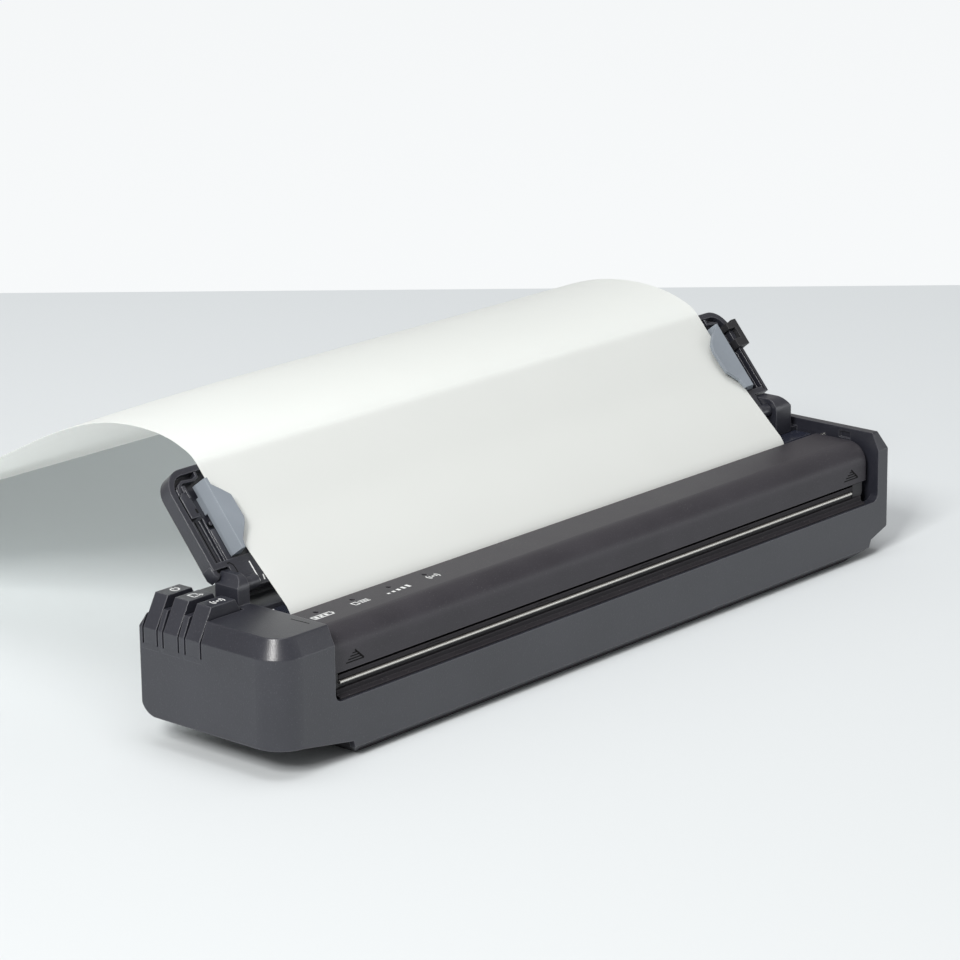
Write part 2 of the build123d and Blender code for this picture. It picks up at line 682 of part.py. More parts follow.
def make_latch_right():
    """Slider that hooks over the right rim: two arms and an outside bar."""
    body = block(119.9, 121.9, -13.5, -4.8, -3.0, 1.4)
    for s0, s1 in ((-7.4, -5.4), (-13.5, -10.9)):
        body += block(116.9, 120.5, s0, s1, 0.1, 1.4)
        body += block(116.9, 117.8, s0, s1, -2.1, 0.2)
    return on_lid(body)


# Sheet of paper

SHEET_ROUTE = [
    (-19.5, 22.0), (-7.6, 22.0), (-1.4, 35.3), (17.67, 53.06), (32.3, 70.0), (41.0, 73.9), (69.8, 75.9),
    (150.0, 35.1), (240.14, 0.3),
]
SHEET_RADII = [13.0, 6.0, 60.0, 10.0, 40.0, 70.0, 150.0]


def make_paper_sheet():
    """One A4 sheet from the exit slot, round the roller, up the lid and down to the table."""
    route = FilletPolyline(*SHEET_ROUTE, radius=SHEET_RADII)
    print("sheet length", round(route.length, 2))
    above = offset(route, amount=SHEET_T / 2, side=Side.BOTH, kind=Kind.ARC)
    return strip(SHEET_X0, SHEET_X1, above)


NODES = {
    "casing": make_casing,
    "base_cover": make_base_cover,
    "feet": make_feet,
    "case_screws": make_case_screws,
    "inner_frame": make_inner_frame,
    "shaft_bushes": make_shaft_bushes,
    "platen_shaft": make_platen_shaft,
    "platen_roller": make_platen_roller,
    "platen_gear": make_platen_gear,
    "idler_gear": make_idler_gear,
    "idler_axle": make_idler_axle,
    "drive_motor": make_drive_motor,
    "motor_shaft": make_motor_shaft,
    "motor_pinion": make_motor_pinion,
    "exit_guide": make_exit_guide,
    "tear_bar": make_tear_bar,
    "inlet_guide": make_inlet_guide,
    "paper_sensor": make_paper_sensor,
    "main_board": make_main_board,
    "battery_pack": make_battery_pack,
    "socket_board": make_socket_board,
    "usb_socket": make_usb_socket,
    "power_jack": make_power_jack,
    "key_board": make_key_board,
    "release_cover": make_release_cover,
    "cover_pins": make_cover_pins,
    "light_pipes": make_light_pipes,
    "print_head": make_print_head,
    "head_bracket": make_head_bracket,
    "head_springs": make_head_springs,
    "lid": make_lid,
    "hinge_pins": make_hinge_pins,
    "support_panel": make_support_panel,
    "guide_left": make_guide_left,
    "guide_right": make_guide_right,
    "rack_left": make_rack_left,
    "rack_right": make_rack_right,
    "guide_pinion": make_guide_pinion,
    "latch_left": make_latch_left,
    "latch_right": make_latch_right,
    "paper_sheet": make_paper_sheet,
}


def main():
    os.makedirs("parts", exist_ok=True)
    for name, make in NODES.items():
        export_step(make(), f"parts/{name}.step")
    for name, (y0, y1) in KEYS.items():
        export_step(make_key(y0, y1), f"parts/{name}.step")
    print("lid hinge", round(HINGE_Y, 3), round(HINGE_Z, 3))


main()
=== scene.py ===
"""Portable A4 thermal printer with its paper lid open and one sheet loaded.

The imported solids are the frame. Each sub-assembly is a class that holds its sizes in
millimetres, models the pieces that the solids leave out, and dresses them.
"""

from __future__ import annotations

import json
import logging
import math
from dataclasses import dataclass, field, replace
from enum import Enum
from functools import cache
from typing import Sequence

import bpy
import numpy as np
from mathutils import Matrix, Vector

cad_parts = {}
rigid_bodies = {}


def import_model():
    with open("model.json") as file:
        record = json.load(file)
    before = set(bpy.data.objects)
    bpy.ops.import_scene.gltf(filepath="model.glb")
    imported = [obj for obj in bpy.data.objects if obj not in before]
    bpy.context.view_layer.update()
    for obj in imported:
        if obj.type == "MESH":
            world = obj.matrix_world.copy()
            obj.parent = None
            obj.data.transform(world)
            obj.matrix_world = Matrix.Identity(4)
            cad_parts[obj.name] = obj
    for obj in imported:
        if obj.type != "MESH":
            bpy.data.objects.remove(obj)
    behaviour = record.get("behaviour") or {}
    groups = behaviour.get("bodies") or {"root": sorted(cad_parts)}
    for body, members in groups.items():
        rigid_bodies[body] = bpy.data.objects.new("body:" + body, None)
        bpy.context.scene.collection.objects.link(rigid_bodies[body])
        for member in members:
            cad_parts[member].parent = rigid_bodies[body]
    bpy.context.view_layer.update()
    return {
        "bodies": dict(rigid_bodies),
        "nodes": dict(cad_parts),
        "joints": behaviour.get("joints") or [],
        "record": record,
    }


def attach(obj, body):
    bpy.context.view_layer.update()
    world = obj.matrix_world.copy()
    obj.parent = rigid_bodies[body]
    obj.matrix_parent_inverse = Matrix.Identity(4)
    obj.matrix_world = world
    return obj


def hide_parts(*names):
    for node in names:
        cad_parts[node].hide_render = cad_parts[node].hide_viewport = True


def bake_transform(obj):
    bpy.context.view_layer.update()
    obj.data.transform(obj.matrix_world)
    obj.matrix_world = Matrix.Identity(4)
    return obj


LOG = logging.getLogger("printer")

# Modelling: a millimetre in metres, the thickness of printed films in millimetres, how near
# two points or levels count as one in metres, and how round the round shapes are.
MM = 0.001
FILM = 0.02
DOUBLES_WITHIN = 1e-6
LEVEL_WITHIN = 1e-7
SHALLOW_EDGE = math.radians(35.0)
ROD_SIDES = 32
ARC_STEPS = 14
MITRE_LIMIT = 0.4

# Shading: where flecks and dust patches start in their noise, how sharply masks rise, and
# the sockets of a colour mix node (amount, first and second colour, and its result).
FLECK_FROM = 0.60
SPECK_RADIUS = 0.16
SPECK_GAIN = 9.0
EDGE_GAIN = 4.0
DUST_FROM = 0.52
DUST_PATCHES = 45.0
DUST_COLOUR = (190, 190, 188)
COLOUR_MIX_INPUTS = (0, 6, 7)
COLOUR_MIX_RESULT = 2

Socket = bpy.types.NodeSocket
Point2 = tuple[float, float]
Triple = tuple[float, float, float]
Colour = tuple[float, float, float]
LinearColour = tuple[float, float, float, float]


# ---------------- planes to model on


def plane_matrix(origin: Sequence[float], right: Sequence[float], up: Sequence[float]) -> Matrix:
    """Matrix from a drawing plane to the printer.

    Args:
        origin: Where the plane's zero is, in millimetres.
        right: Direction of the plane's first axis.
        up: Direction of the plane's second axis.

    Returns:
        A matrix that takes metres on the plane to metres on the printer.
    """
    first = Vector(right).normalized()
    second = Vector(up).normalized()
    out = first.cross(second)
    turn = Matrix((first, second, out)).transposed().to_4x4()
    return Matrix.Translation(Vector(origin) * MM) @ turn


LID_TILT = math.radians(50.0)
LID_TOP = (0.0, 31.1, 67.9)
LID_UP = (0.0, math.cos(LID_TILT), math.sin(LID_TILT))
ON_LID = plane_matrix(LID_TOP, (1, 0, 0), LID_UP)
ON_TABLE = Matrix.Identity(4)


def on_front(y: float) -> Matrix:
    """Plane facing the front at the given depth: first axis along X, second up."""
    return plane_matrix((0, y, 0), (1, 0, 0), (0, 0, 1))


def on_right_end(x: float) -> Matrix:
    """Plane facing the right end: first axis towards the rear, second up."""
    return plane_matrix((x, 0, 0), (0, 1, 0), (0, 0, 1))


# ---------------- modelling moves


class Bench:
    """The modelling moves that the sub-assemblies share."""

    @staticmethod
    def clear() -> None:
        """Leave edit mode and deselect everything."""
        if bpy.context.mode != "OBJECT":
            bpy.ops.object.mode_set(mode="OBJECT")
        bpy.ops.object.select_all(action="DESELECT")

    @staticmethod
    def take(name: str) -> bpy.types.Object:
        """Name the primitive that was just added and settle its place in its mesh."""
        piece = bpy.context.object
        piece.name = name
        piece.data.name = name
        bpy.ops.object.transform_apply(location=True, rotation=True, scale=True)
        return piece

    @staticmethod
    def edit(piece: bpy.types.Object) -> None:
        """Open one piece for editing with all of it selected."""
        Bench.clear()
        piece.select_set(True)
        bpy.context.view_layer.objects.active = piece
        bpy.ops.object.mode_set(mode="EDIT")
        bpy.ops.mesh.select_all(action="SELECT")

    @staticmethod
    def done(piece: bpy.types.Object) -> bpy.types.Object:
        """Merge doubles, turn faces outwards and smooth the shallow edges of a piece."""
        Bench.edit(piece)
        bpy.ops.mesh.remove_doubles(threshold=DOUBLES_WITHIN)
        bpy.ops.mesh.normals_make_consistent(inside=False)
        bpy.ops.object.mode_set(mode="OBJECT")
        bpy.ops.object.shade_smooth_by_angle(angle=SHALLOW_EDGE)
        Bench.clear()
        return piece

    @staticmethod
    def block(name: str, low: Sequence[float], high: Sequence[float]) -> bpy.types.Object:
        """Block between two corners.

        Args:
            name: Name of the piece.
            low: Lowest corner, in millimetres.
            high: Highest corner, in millimetres.

        Returns:
            The new piece.
        """
        Bench.clear()
        middle = [(a + b) / 2 * MM for a, b in zip(low, high)]
        size = [(b - a) * MM for a, b in zip(low, high)]
        bpy.ops.mesh.primitive_cube_add(size=1, location=middle, scale=size)
        return Bench.done(Bench.take(name))

    @staticmethod
    def plate(
        name: str,
        outline: Sequence[Point2],
        base: float,
        height: float,
        bevel: float = 0.0,
        place: Matrix = ON_TABLE,
    ) -> bpy.types.Object:
        """Plate cut to an outline and raised from its plane.

        Args:
            name: Name of the piece.
            outline: Corners on the plane, in millimetres.
            base: Height of its underside over the plane.
            height: Its thickness.
            bevel: Radius of its upper edges.
            place: The plane that it is modelled on.

        Returns:
            The new piece.
        """
        Bench.clear()
        bpy.ops.mesh.primitive_circle_add(vertices=len(outline), radius=1, fill_type="NGON")
        piece = Bench.take(name)
        for vertex, (u, v) in zip(piece.data.vertices, outline):
            vertex.co = (u * MM, v * MM, base * MM)
        Bench.edit(piece)
        bpy.ops.mesh.extrude_region_move(TRANSFORM_OT_translate={"value": (0, 0, height * MM)})
        if bevel:
            bpy.ops.mesh.bevel(offset=bevel * MM, segments=2, affect="EDGES")
        bpy.ops.object.mode_set(mode="OBJECT")
        piece.data.transform(place)
        return Bench.done(piece)

    @staticmethod
    def rod(
        name: str,
        centre: Sequence[float],
        radius: float,
        height: float,
        bevel: float,
        place: Matrix,
    ) -> bpy.types.Object:
        """Round bar that stands on its plane.

        Args:
            name: Name of the piece.
            centre: Middle of its foot on the plane, in millimetres.
            radius: Its radius.
            height: How far it stands out of the plane.
            bevel: Radius of its two rims.
            place: The plane that it is modelled on.

        Returns:
            The new piece.
        """
        Bench.clear()
        at = (centre[0] * MM, centre[1] * MM, (centre[2] + height / 2) * MM)
        bpy.ops.mesh.primitive_cylinder_add(
            vertices=ROD_SIDES, radius=radius * MM, depth=height * MM, location=at
        )
        piece = Bench.take(name)
        Bench.edit(piece)
        bpy.ops.mesh.select_all(action="DESELECT")
        bpy.ops.object.mode_set(mode="OBJECT")
        for edge in piece.data.edges:
            a, b = (piece.data.vertices[i].co.z for i in edge.vertices)
            edge.select = abs(a - b) < LEVEL_WITHIN
        bpy.ops.object.mode_set(mode="EDIT")
        bpy.ops.mesh.bevel(offset=bevel * MM, segments=3, affect="EDGES")
        bpy.ops.object.mode_set(mode="OBJECT")
        piece.data.transform(place)
        return Bench.done(piece)

    @staticmethod
    def join(name: str, pieces: Sequence[bpy.types.Object]) -> bpy.types.Object:
        """Make several pieces one."""
        Bench.clear()
        for piece in pieces:
            piece.select_set(True)
        bpy.context.view_layer.objects.active = pieces[0]
        if len(pieces) > 1:
            bpy.ops.object.join()
        pieces[0].name = name
        pieces[0].data.name = name
        Bench.clear()
        return pieces[0]


def arc_band(centre: Point2, radius: float, width: float, start: float, end: float) -> list[Point2]:
    """Outline of a curved stroke.

    Args:
        centre: Middle of the arc, in millimetres.
        radius: Radius of the stroke's middle.
        width: Width of the stroke.
        start: Where it starts, in degrees from the first axis.
        end: Where it ends, in degrees.

    Returns:
        Corners of the stroke, in order round it.
    """
    turns = [math.radians(start + (end - start) * i / ARC_STEPS) for i in range(ARC_STEPS + 1)]

    def side(reach: float) -> list[Point2]:
        """One long side of the stroke."""
        return [(centre[0] + reach * math.cos(t), centre[1] + reach * math.sin(t)) for t in turns]

    return side(radius + width / 2) + side(radius - width / 2)[::-1]


def stroke(a: Point2, b: Point2, width: float) -> list[Point2]:
    """Outline of a straight stroke between two points, in millimetres."""
    along = Vector((b[0] - a[0], b[1] - a[1])).normalized() * width / 2
    side = Vector((-along.y, along.x))
    return [
        (a[0] - side.x, a[1] - side.y),
        (b[0] - side.x, b[1] - side.y),
        (b[0] + side.x, b[1] + side.y),
        (a[0] + side.x, a[1] + side.y),
    ]


def path_band(points: Sequence[Point2], width: float) -> list[Point2]:
    """Outline of a stroke of even width along an open path.

    Args:
        points: Corners of the path, in millimetres.
        width: Width of the stroke.

    Returns:
        Corners of the stroke, in order round it.
    """
    path = [Vector(point) for point in points]
    headings = [(b - a).normalized() for a, b in zip(path, path[1:])]
    sides: list[Vector] = []
    for before, after in zip([headings[0]] + headings, headings + [headings[-1]]):
        middle = (before + after).normalized()
        normal = Vector((-middle.y, middle.x))
        square = Vector((-before.y, before.x))
        sides.append(normal * (width / 2 / max(MITRE_LIMIT, normal.dot(square))))
    left = [(p.x + n.x, p.y + n.y) for p, n in zip(path, sides)]
    right = [(p.x - n.x, p.y - n.y) for p, n in zip(path, sides)]
    return right + left[::-1]


# ---------------- shader trees


def linear(colour: Colour) -> LinearColour:
    """Screen colour from 0 to 255 as linear light with full alpha."""
    parts = [c / 255 for c in colour]
    made = [p / 12.92 if p <= 0.04045 else ((p + 0.055) / 1.055) ** 2.4 for p in parts]
    return (made[0], made[1], made[2], 1.0)


def toned(base: LinearColour, gain: float, lift: float = 0.0) -> LinearColour:
    """A linear colour made stronger or weaker, and lifted towards white."""
    red, green, blue = (min(1.0, c * gain + lift) for c in base[:3])
    return (red, green, blue, 1.0)


class Nodes:
    """The moves that groups and materials share."""

    def __init__(self, tree: bpy.types.NodeTree) -> None:
        """Work on one tree."""
        self.tree = tree

    def feed(self, target: Socket, value: object) -> None:
        """Link a socket to another one, or set it to a constant."""
        if isinstance(value, Socket):
            self.tree.links.new(value, target)
        else:
            target.default_value = value

    def node(self, kind: str, inputs: dict | None = None, **settings: object) -> bpy.types.Node:
        """Add a node.

        Args:
            kind: Type of the node.
            inputs: Sockets or constants for its inputs, by their name or number.
            settings: Values for its properties.

        Returns:
            The new node.
        """
        made = self.tree.nodes.new(kind)
        for label, value in settings.items():
            setattr(made, label, value)
        for label, value in (inputs or {}).items():
            self.feed(made.inputs[label], value)
        return made

    def place(self, kind: str = "Object") -> Socket:
        """Coordinates of the shaded point."""
        return self.node("ShaderNodeTexCoord").outputs[kind]

    def shape(self, kind: str) -> Socket:
        """One fact of the shaded surface."""
        return self.node("ShaderNodeNewGeometry").outputs[kind]

    def maths(self, operation: str, *values: object) -> Socket:
        """Work out a number from sockets and plain numbers."""
        return self.node("ShaderNodeMath", dict(enumerate(values)), operation=operation).outputs[0]

    def dot(self, first: object, second: object) -> Socket:
        """Dot product of two vectors."""
        both = {0: first, 1: second}
        return self.node("ShaderNodeVectorMath", both, operation="DOT_PRODUCT").outputs["Value"]

    def noise(self, where: Socket, scale: object, detail: float, roughness: float = 0.5) -> Socket:
        """Value of a noise pattern.

        Args:
            where: Coordinates.
            scale: Socket or number.
            detail: Layers of finer noise.
            roughness: Strength of each finer layer.

        Returns:
            The socket with the value.
        """
        inputs = {"Vector": where, "Scale": scale, "Detail": detail, "Roughness": roughness}
        return self.node("ShaderNodeTexNoise", inputs).outputs["Fac"]


class Effect(Nodes):
    """A shader node group that several finishes share."""

    def __init__(self, name: str, inputs: dict[str, float], outputs: Sequence[str]) -> None:
        """Open a group with its sockets.

        Args:
            name: Name of the group.
            inputs: Number sockets and their usual values.
            outputs: Names of the sockets that it gives; Normal is a vector and the rest are numbers.
        """
        super().__init__(bpy.data.node_groups.new(name, "ShaderNodeTree"))
        sockets = self.tree.interface
        for label, value in inputs.items():
            made = sockets.new_socket(label, in_out="INPUT", socket_type="NodeSocketFloat")
            made.default_value = value
        for label in outputs:
            kind = "NodeSocketVector" if label == "Normal" else "NodeSocketFloat"
            sockets.new_socket(label, in_out="OUTPUT", socket_type=kind)
        self.inside = self.node("NodeGroupInput")
        self.outside = self.node("NodeGroupOutput")

    def given(self, label: str) -> Socket:
        """One of the group's inputs."""
        return self.inside.outputs[label]

    def give(self, **values: Socket) -> bpy.types.NodeTree:
        """Feed the group's outputs and return its finished tree."""
        for label, value in values.items():
            self.feed(self.outside.inputs[label], value)
        return self.tree

    def share(self, value: Socket, gain: float) -> Socket:
        """A value times a gain, kept from 0 to 1."""
        return self.maths("MINIMUM", self.maths("MAXIMUM", self.maths("MULTIPLY", value, gain), 0.0), 1.0)

    def rounded(self, samples: int, radius: Socket) -> Socket:
        """Normal of the surface with its edges rounded."""
        return self.node("ShaderNodeBevel", {"Radius": radius}, samples=samples).outputs["Normal"]


def make_grain() -> bpy.types.NodeTree:
    """Fine spark-eroded mould texture: a height, a slow change of tone, and rare flecks."""
    group = Effect("MouldGrain", {"Scale": 2600.0, "Coarse": 60.0}, ("Height", "Tone", "Fleck"))
    where = group.place()
    fine = group.noise(where, group.given("Scale"), 2.0, 0.6)
    slow = group.noise(where, group.given("Coarse"), 3.0)
    fleck = group.share(group.maths("SUBTRACT", fine, FLECK_FROM), SPECK_GAIN)
    return group.give(Height=fine, Tone=slow, Fleck=fleck)


def make_edge() -> bpy.types.NodeTree:
    """Rounded edges of a moulding: a softened normal, and a mask along the edges."""
    group = Effect("SoftEdge", {"Radius": 0.00035, "Reach": 0.0005}, ("Normal", "Edge"))
    soft = group.rounded(6, group.given("Radius"))
    wide = group.rounded(4, group.given("Reach"))
    turned = group.maths("SUBTRACT", 1.0, group.dot(wide, group.shape("Normal")))
    return group.give(Normal=soft, Edge=group.share(turned, EDGE_GAIN))


def make_dust() -> bpy.types.NodeTree:
    """Thin dust that settles on faces that look up."""
    group = Effect("SettledDust", {"Scale": 900.0, "Amount": 0.2}, ("Mask",))
    where = group.place()
    inputs = {"Vector": where, "Scale": group.given("Scale"), "Randomness": 1.0}
    specks = group.node("ShaderNodeTexVoronoi", inputs, feature="F1")
    near = group.share(group.maths("SUBTRACT", SPECK_RADIUS, specks.outputs["Distance"]), SPECK_GAIN)
    patch = group.noise(where, DUST_PATCHES, 2.0)
    mask = group.maths("MULTIPLY", near, group.maths("GREATER_THAN", patch, DUST_FROM))
    split = group.node("ShaderNodeSeparateXYZ", {0: group.shape("Normal")})
    mask = group.maths("MULTIPLY", mask, group.maths("MAXIMUM", split.outputs["Z"], 0.0))
    return group.give(Mask=group.maths("MULTIPLY", mask, group.given("Amount")))


@cache
def effect(name: str) -> bpy.types.NodeTree:
    """The shared group of that name, built the first time it is asked for."""
    return {"MouldGrain": make_grain, "SoftEdge": make_edge, "SettledDust": make_dust}[name]()


# ---------------- finishes


class Canvas(Nodes):
    """A material's own node tree with its Principled shader."""

    def __init__(self, name: str) -> None:
        """Start a material with one Principled shader."""
        self.material = bpy.data.materials.new(name)
        self.material.use_nodes = True
        super().__init__(self.material.node_tree)
        self.shader = self.tree.nodes["Principled BSDF"]

    def group(self, name: str, **values: float) -> bpy.types.bpy_prop_collection:
        """Place a shared effect with this material's own values and return its outputs."""
        return self.node("ShaderNodeGroup", values, node_tree=effect(name)).outputs

    def blend(self, amount: object, low: object, high: object) -> Socket:
        """Mix two colours.

        Args:
            amount: Socket or number, 0 for the first colour and 1 for the second.
            low: Socket or colour.
            high: Socket or colour.

        Returns:
            The socket with the mixed colour.
        """
        inputs = dict(zip(COLOUR_MIX_INPUTS, (amount, low, high)))
        return self.node("ShaderNodeMix", inputs, data_type="RGBA").outputs[COLOUR_MIX_RESULT]

    def span(self, source: Socket, low: float, high: float) -> Socket:
        """Stretch a 0 to 1 value over a range."""
        inputs = {"Value": source, "To Min": low, "To Max": high}
        return self.node("ShaderNodeMapRange", inputs).outputs["Result"]

    def around(self, source: Socket, middle: float, spread: Point2) -> Socket:
        """Stretch a 0 to 1 value from below to above a middle value."""
        return self.span(source, middle + spread[0], middle + spread[1])

    def bump(self, height: Socket, relief: Point2, normal: Socket | None = None) -> Socket:
        """Raise the surface by a height, over another normal if one is given."""
        inputs = {"Height": height, "Strength": relief[0], "Distance": relief[1]}
        if normal is not None:
            inputs["Normal"] = normal
        return self.node("ShaderNodeBump", inputs).outputs["Normal"]

    def mix(self, amount: object, first: Socket, second: Socket) -> Socket:
        """Mix two shaders; an amount of 0 gives the first and 1 the second."""
        return self.node("ShaderNodeMixShader", {0: amount, 1: first, 2: second}).outputs[0]

    def surface(self, shader: Socket) -> None:
        """Make a shader the surface of the material."""
        self.feed(self.tree.nodes["Material Output"].inputs["Surface"], shader)

    def set(self, **values: object) -> None:
        """Feed the shader's own sockets; underscores stand for spaces."""
        for label, value in values.items():
            self.feed(self.shader.inputs[label.replace("_", " ")], value)


@dataclass(frozen=True)
class Finish:
    """What every finish has.

    In the finishes, a tone is a gain and a lift of the main colour. A roughness is its middle,
    with a spread below and above, or a pair of its least and greatest. A relief is the strength
    and the depth of a bump.
    """

    name: str
    colour: Colour

    def dress(self, canvas: Canvas) -> None:
        """Set up the material's nodes."""
        raise NotImplementedError

    def build(self) -> bpy.types.Material:
        """Make the material."""
        canvas = Canvas(self.name)
        self.dress(canvas)
        return canvas.material


@dataclass(frozen=True)
class Moulding(Finish):
    """Moulded plastic with mould grain, softened edges, light wear and dust; the lightening along its edges
    is partly wear and partly a painted highlight.
    """

    roughness: float = 0.5
    specular: float = 0.5
    grain: float = 2600.0
    depth: float = 0.00004
    fleck: float = 0.12
    wear_and_edge_highlight: float = 0.25
    dust: float = 0.15
    edge_radius: float = 0.0003
    dark_tone: Point2 = (0.86, 0.0)
    light_tone: Point2 = (1.35, 0.006)
    worn_and_highlight_tone: Point2 = (2.2, 0.07)
    spread: Point2 = (-0.06, 0.08)
    bump: float = 0.35

    def dress(self, canvas: Canvas) -> None:
        """Set up the material's nodes."""
        grain = canvas.group("MouldGrain", Scale=self.grain)
        edge = canvas.group("SoftEdge", Radius=self.edge_radius)
        dust = canvas.group("SettledDust", Amount=self.dust)
        base = linear(self.colour)
        worn_and_highlight = toned(base, *self.worn_and_highlight_tone)
        colour = canvas.blend(grain["Tone"], toned(base, *self.dark_tone), toned(base, *self.light_tone))
        colour = canvas.blend(canvas.span(grain["Fleck"], 0.0, self.fleck), colour, worn_and_highlight)
        # Edges lighten towards the worn tone: partly real wear, partly a painted highlight on the rounded
        # edges.
        colour = canvas.blend(canvas.span(edge["Edge"], 0.0, self.wear_and_edge_highlight), colour, worn_and_highlight)
        canvas.set(
            Base_Color=canvas.blend(dust["Mask"], colour, linear(DUST_COLOUR)),
            Roughness=canvas.around(grain["Tone"], self.roughness, self.spread),
            Normal=canvas.bump(grain["Height"], (self.bump, self.depth), edge["Normal"]),
            Specular_IOR_Level=self.specular,
        )


@dataclass(frozen=True)
class BrushedSteel(Finish):
    """Metal with fine lines drawn along X."""

    roughness: float = 0.28
    lines: Triple = (60.0, 3500.0, 3500.0)
    dull_tone: Point2 = (0.75, 0.0)
    spread: Point2 = (-0.08, 0.12)
    relief: Point2 = (0.15, 0.00003)
    edge_radius: float = 0.0002

    def dress(self, canvas: Canvas) -> None:
        """Set up the material's nodes."""
        stretch = canvas.node("ShaderNodeMapping", {"Vector": canvas.place(), "Scale": self.lines})
        lines = canvas.noise(stretch.outputs["Vector"], 1.0, 4.0)
        edge = canvas.group("SoftEdge", Radius=self.edge_radius)
        base = linear(self.colour)
        canvas.set(
            Base_Color=canvas.blend(lines, toned(base, *self.dull_tone), base),
            Roughness=canvas.around(lines, self.roughness, self.spread),
            Normal=canvas.bump(lines, self.relief, edge["Normal"]),
            Metallic=1.0,
        )


@dataclass(frozen=True)
class PaperStock(Finish):
    """Thermal paper: fine fibres, a faint cloudy tone, a soft sheen, and some light coming through."""

    fibres: float = 900.0
    clouds: float = 14.0
    through: float = 0.33
    cloud_tone: Point2 = (0.965, 0.0)
    fibre_tone: Point2 = (0.94, 0.0)
    fibre_share: Point2 = (-0.25, 0.45)
    roughness: Point2 = (0.62, 0.78)
    relief: Point2 = (0.12, 0.00002)

    def dress(self, canvas: Canvas) -> None:
        """Set up the nodes of the material; faces seen from behind are clear."""
        where = canvas.place("UV")
        fibre = canvas.noise(where, self.fibres, 4.0)
        cloud = canvas.noise(where, self.clouds, 3.0)
        base = linear(self.colour)
        colour = canvas.blend(cloud, toned(base, *self.cloud_tone), base)
        share = canvas.span(fibre, *self.fibre_share)
        colour = canvas.blend(share, colour, toned(base, *self.fibre_tone))
        canvas.set(
            Base_Color=colour,
            Roughness=canvas.span(fibre, *self.roughness),
            Normal=canvas.bump(fibre, self.relief),
            Specular_IOR_Level=0.35,
        )
        through = canvas.node("ShaderNodeBsdfTranslucent", {"Color": colour}).outputs[0]
        outer = canvas.mix(self.through, canvas.shader.outputs[0], through)
        clear = canvas.node("ShaderNodeBsdfTransparent").outputs[0]
        canvas.surface(canvas.mix(canvas.shape("Backfacing"), outer, clear))


@dataclass(frozen=True)
class Rubber(Finish):
    """Soft rubber with a fine ground surface."""

    light_tone: Point2 = (1.5, 0.004)
    roughness: Point2 = (0.7, 0.95)
    relief: Point2 = (0.4, 0.00005)
    edge_radius: float = 0.0004

    def dress(self, canvas: Canvas) -> None:
        """Set up the material's nodes."""
        grain = canvas.group("MouldGrain", Scale=5200.0, Coarse=120.0)
        edge = canvas.group("SoftEdge", Radius=self.edge_radius)
        base = linear(self.colour)
        canvas.set(
            Base_Color=canvas.blend(grain["Tone"], base, toned(base, *self.light_tone)),
            Roughness=canvas.span(grain["Height"], *self.roughness),
            Normal=canvas.bump(grain["Height"], self.relief, edge["Normal"]),
            Specular_IOR_Level=0.3,
        )


@dataclass(frozen=True)
class CircuitBoard(Finish):
    """Solder mask over copper tracks."""

    dark_tone: Point2 = (0.8, 0.0)
    copper_tone: Point2 = (1.8, 0.01)
    roughness: Point2 = (0.3, 0.45)
    relief: Point2 = (0.3, 0.00003)

    def dress(self, canvas: Canvas) -> None:
        """Set up the material's nodes."""
        base = linear(self.colour)
        inputs = {"Vector": canvas.place(), "Scale": 260.0, "Mortar Size": 0.04, "Color1": base}
        inputs |= {"Color2": toned(base, *self.dark_tone), "Mortar": toned(base, *self.copper_tone)}
        tracks = canvas.node("ShaderNodeTexBrick", inputs).outputs
        canvas.set(
            Base_Color=tracks["Color"],
            Roughness=canvas.span(tracks["Fac"], *self.roughness),
            Normal=canvas.bump(tracks["Fac"], self.relief),
        )


@dataclass(frozen=True)
class Ink(Finish):
    """Screen-printed ink with slightly uneven cover."""

    roughness: float = 0.55
    thin_tone: Point2 = (0.72, 0.0)
    spread: Point2 = (-0.1, 0.1)
    relief: Point2 = (0.2, 0.00002)

    def dress(self, canvas: Canvas) -> None:
        """Set up the material's nodes."""
        grain = canvas.group("MouldGrain", Scale=4200.0, Coarse=400.0)
        base = linear(self.colour)
        canvas.set(
            Base_Color=canvas.blend(grain["Tone"], toned(base, *self.thin_tone), base),
            Roughness=canvas.around(grain["Height"], self.roughness, self.spread),
            Normal=canvas.bump(grain["Height"], self.relief),
        )


@dataclass(frozen=True)
class Board(Finish):
    """Matt board whose tone changes a little from front to back.

    The colour is that of the front, and of all of it if no far colour is given. `shown` is the
    share of its own plain colour that the camera sees, apart from light and shadow.
    """

    far: Colour | None = None
    shown: float = 0.0
    backwards: Triple = (0.6646, 0.7472, 0.0)
    reach: Point2 = (-0.30, 0.42)

    def dress(self, canvas: Canvas) -> None:
        """Set up the material's nodes."""
        along = canvas.dot(canvas.place(), self.backwards)
        inputs = {"Value": along, "From Min": self.reach[0], "From Max": self.reach[1]}
        share = canvas.node("ShaderNodeMapRange", inputs).outputs["Result"]
        colour = canvas.blend(share, linear(self.colour), linear(self.far or self.colour))
        canvas.set(Base_Color=colour, Roughness=0.9, Specular_IOR_Level=0.1)
        seen = canvas.node("ShaderNodeLightPath").outputs["Is Camera Ray"]
        glow = canvas.node("ShaderNodeEmission", {"Color": colour}).outputs[0]
        canvas.surface(canvas.mix(canvas.maths("MULTIPLY", seen, self.shown), canvas.shader.outputs[0], glow))
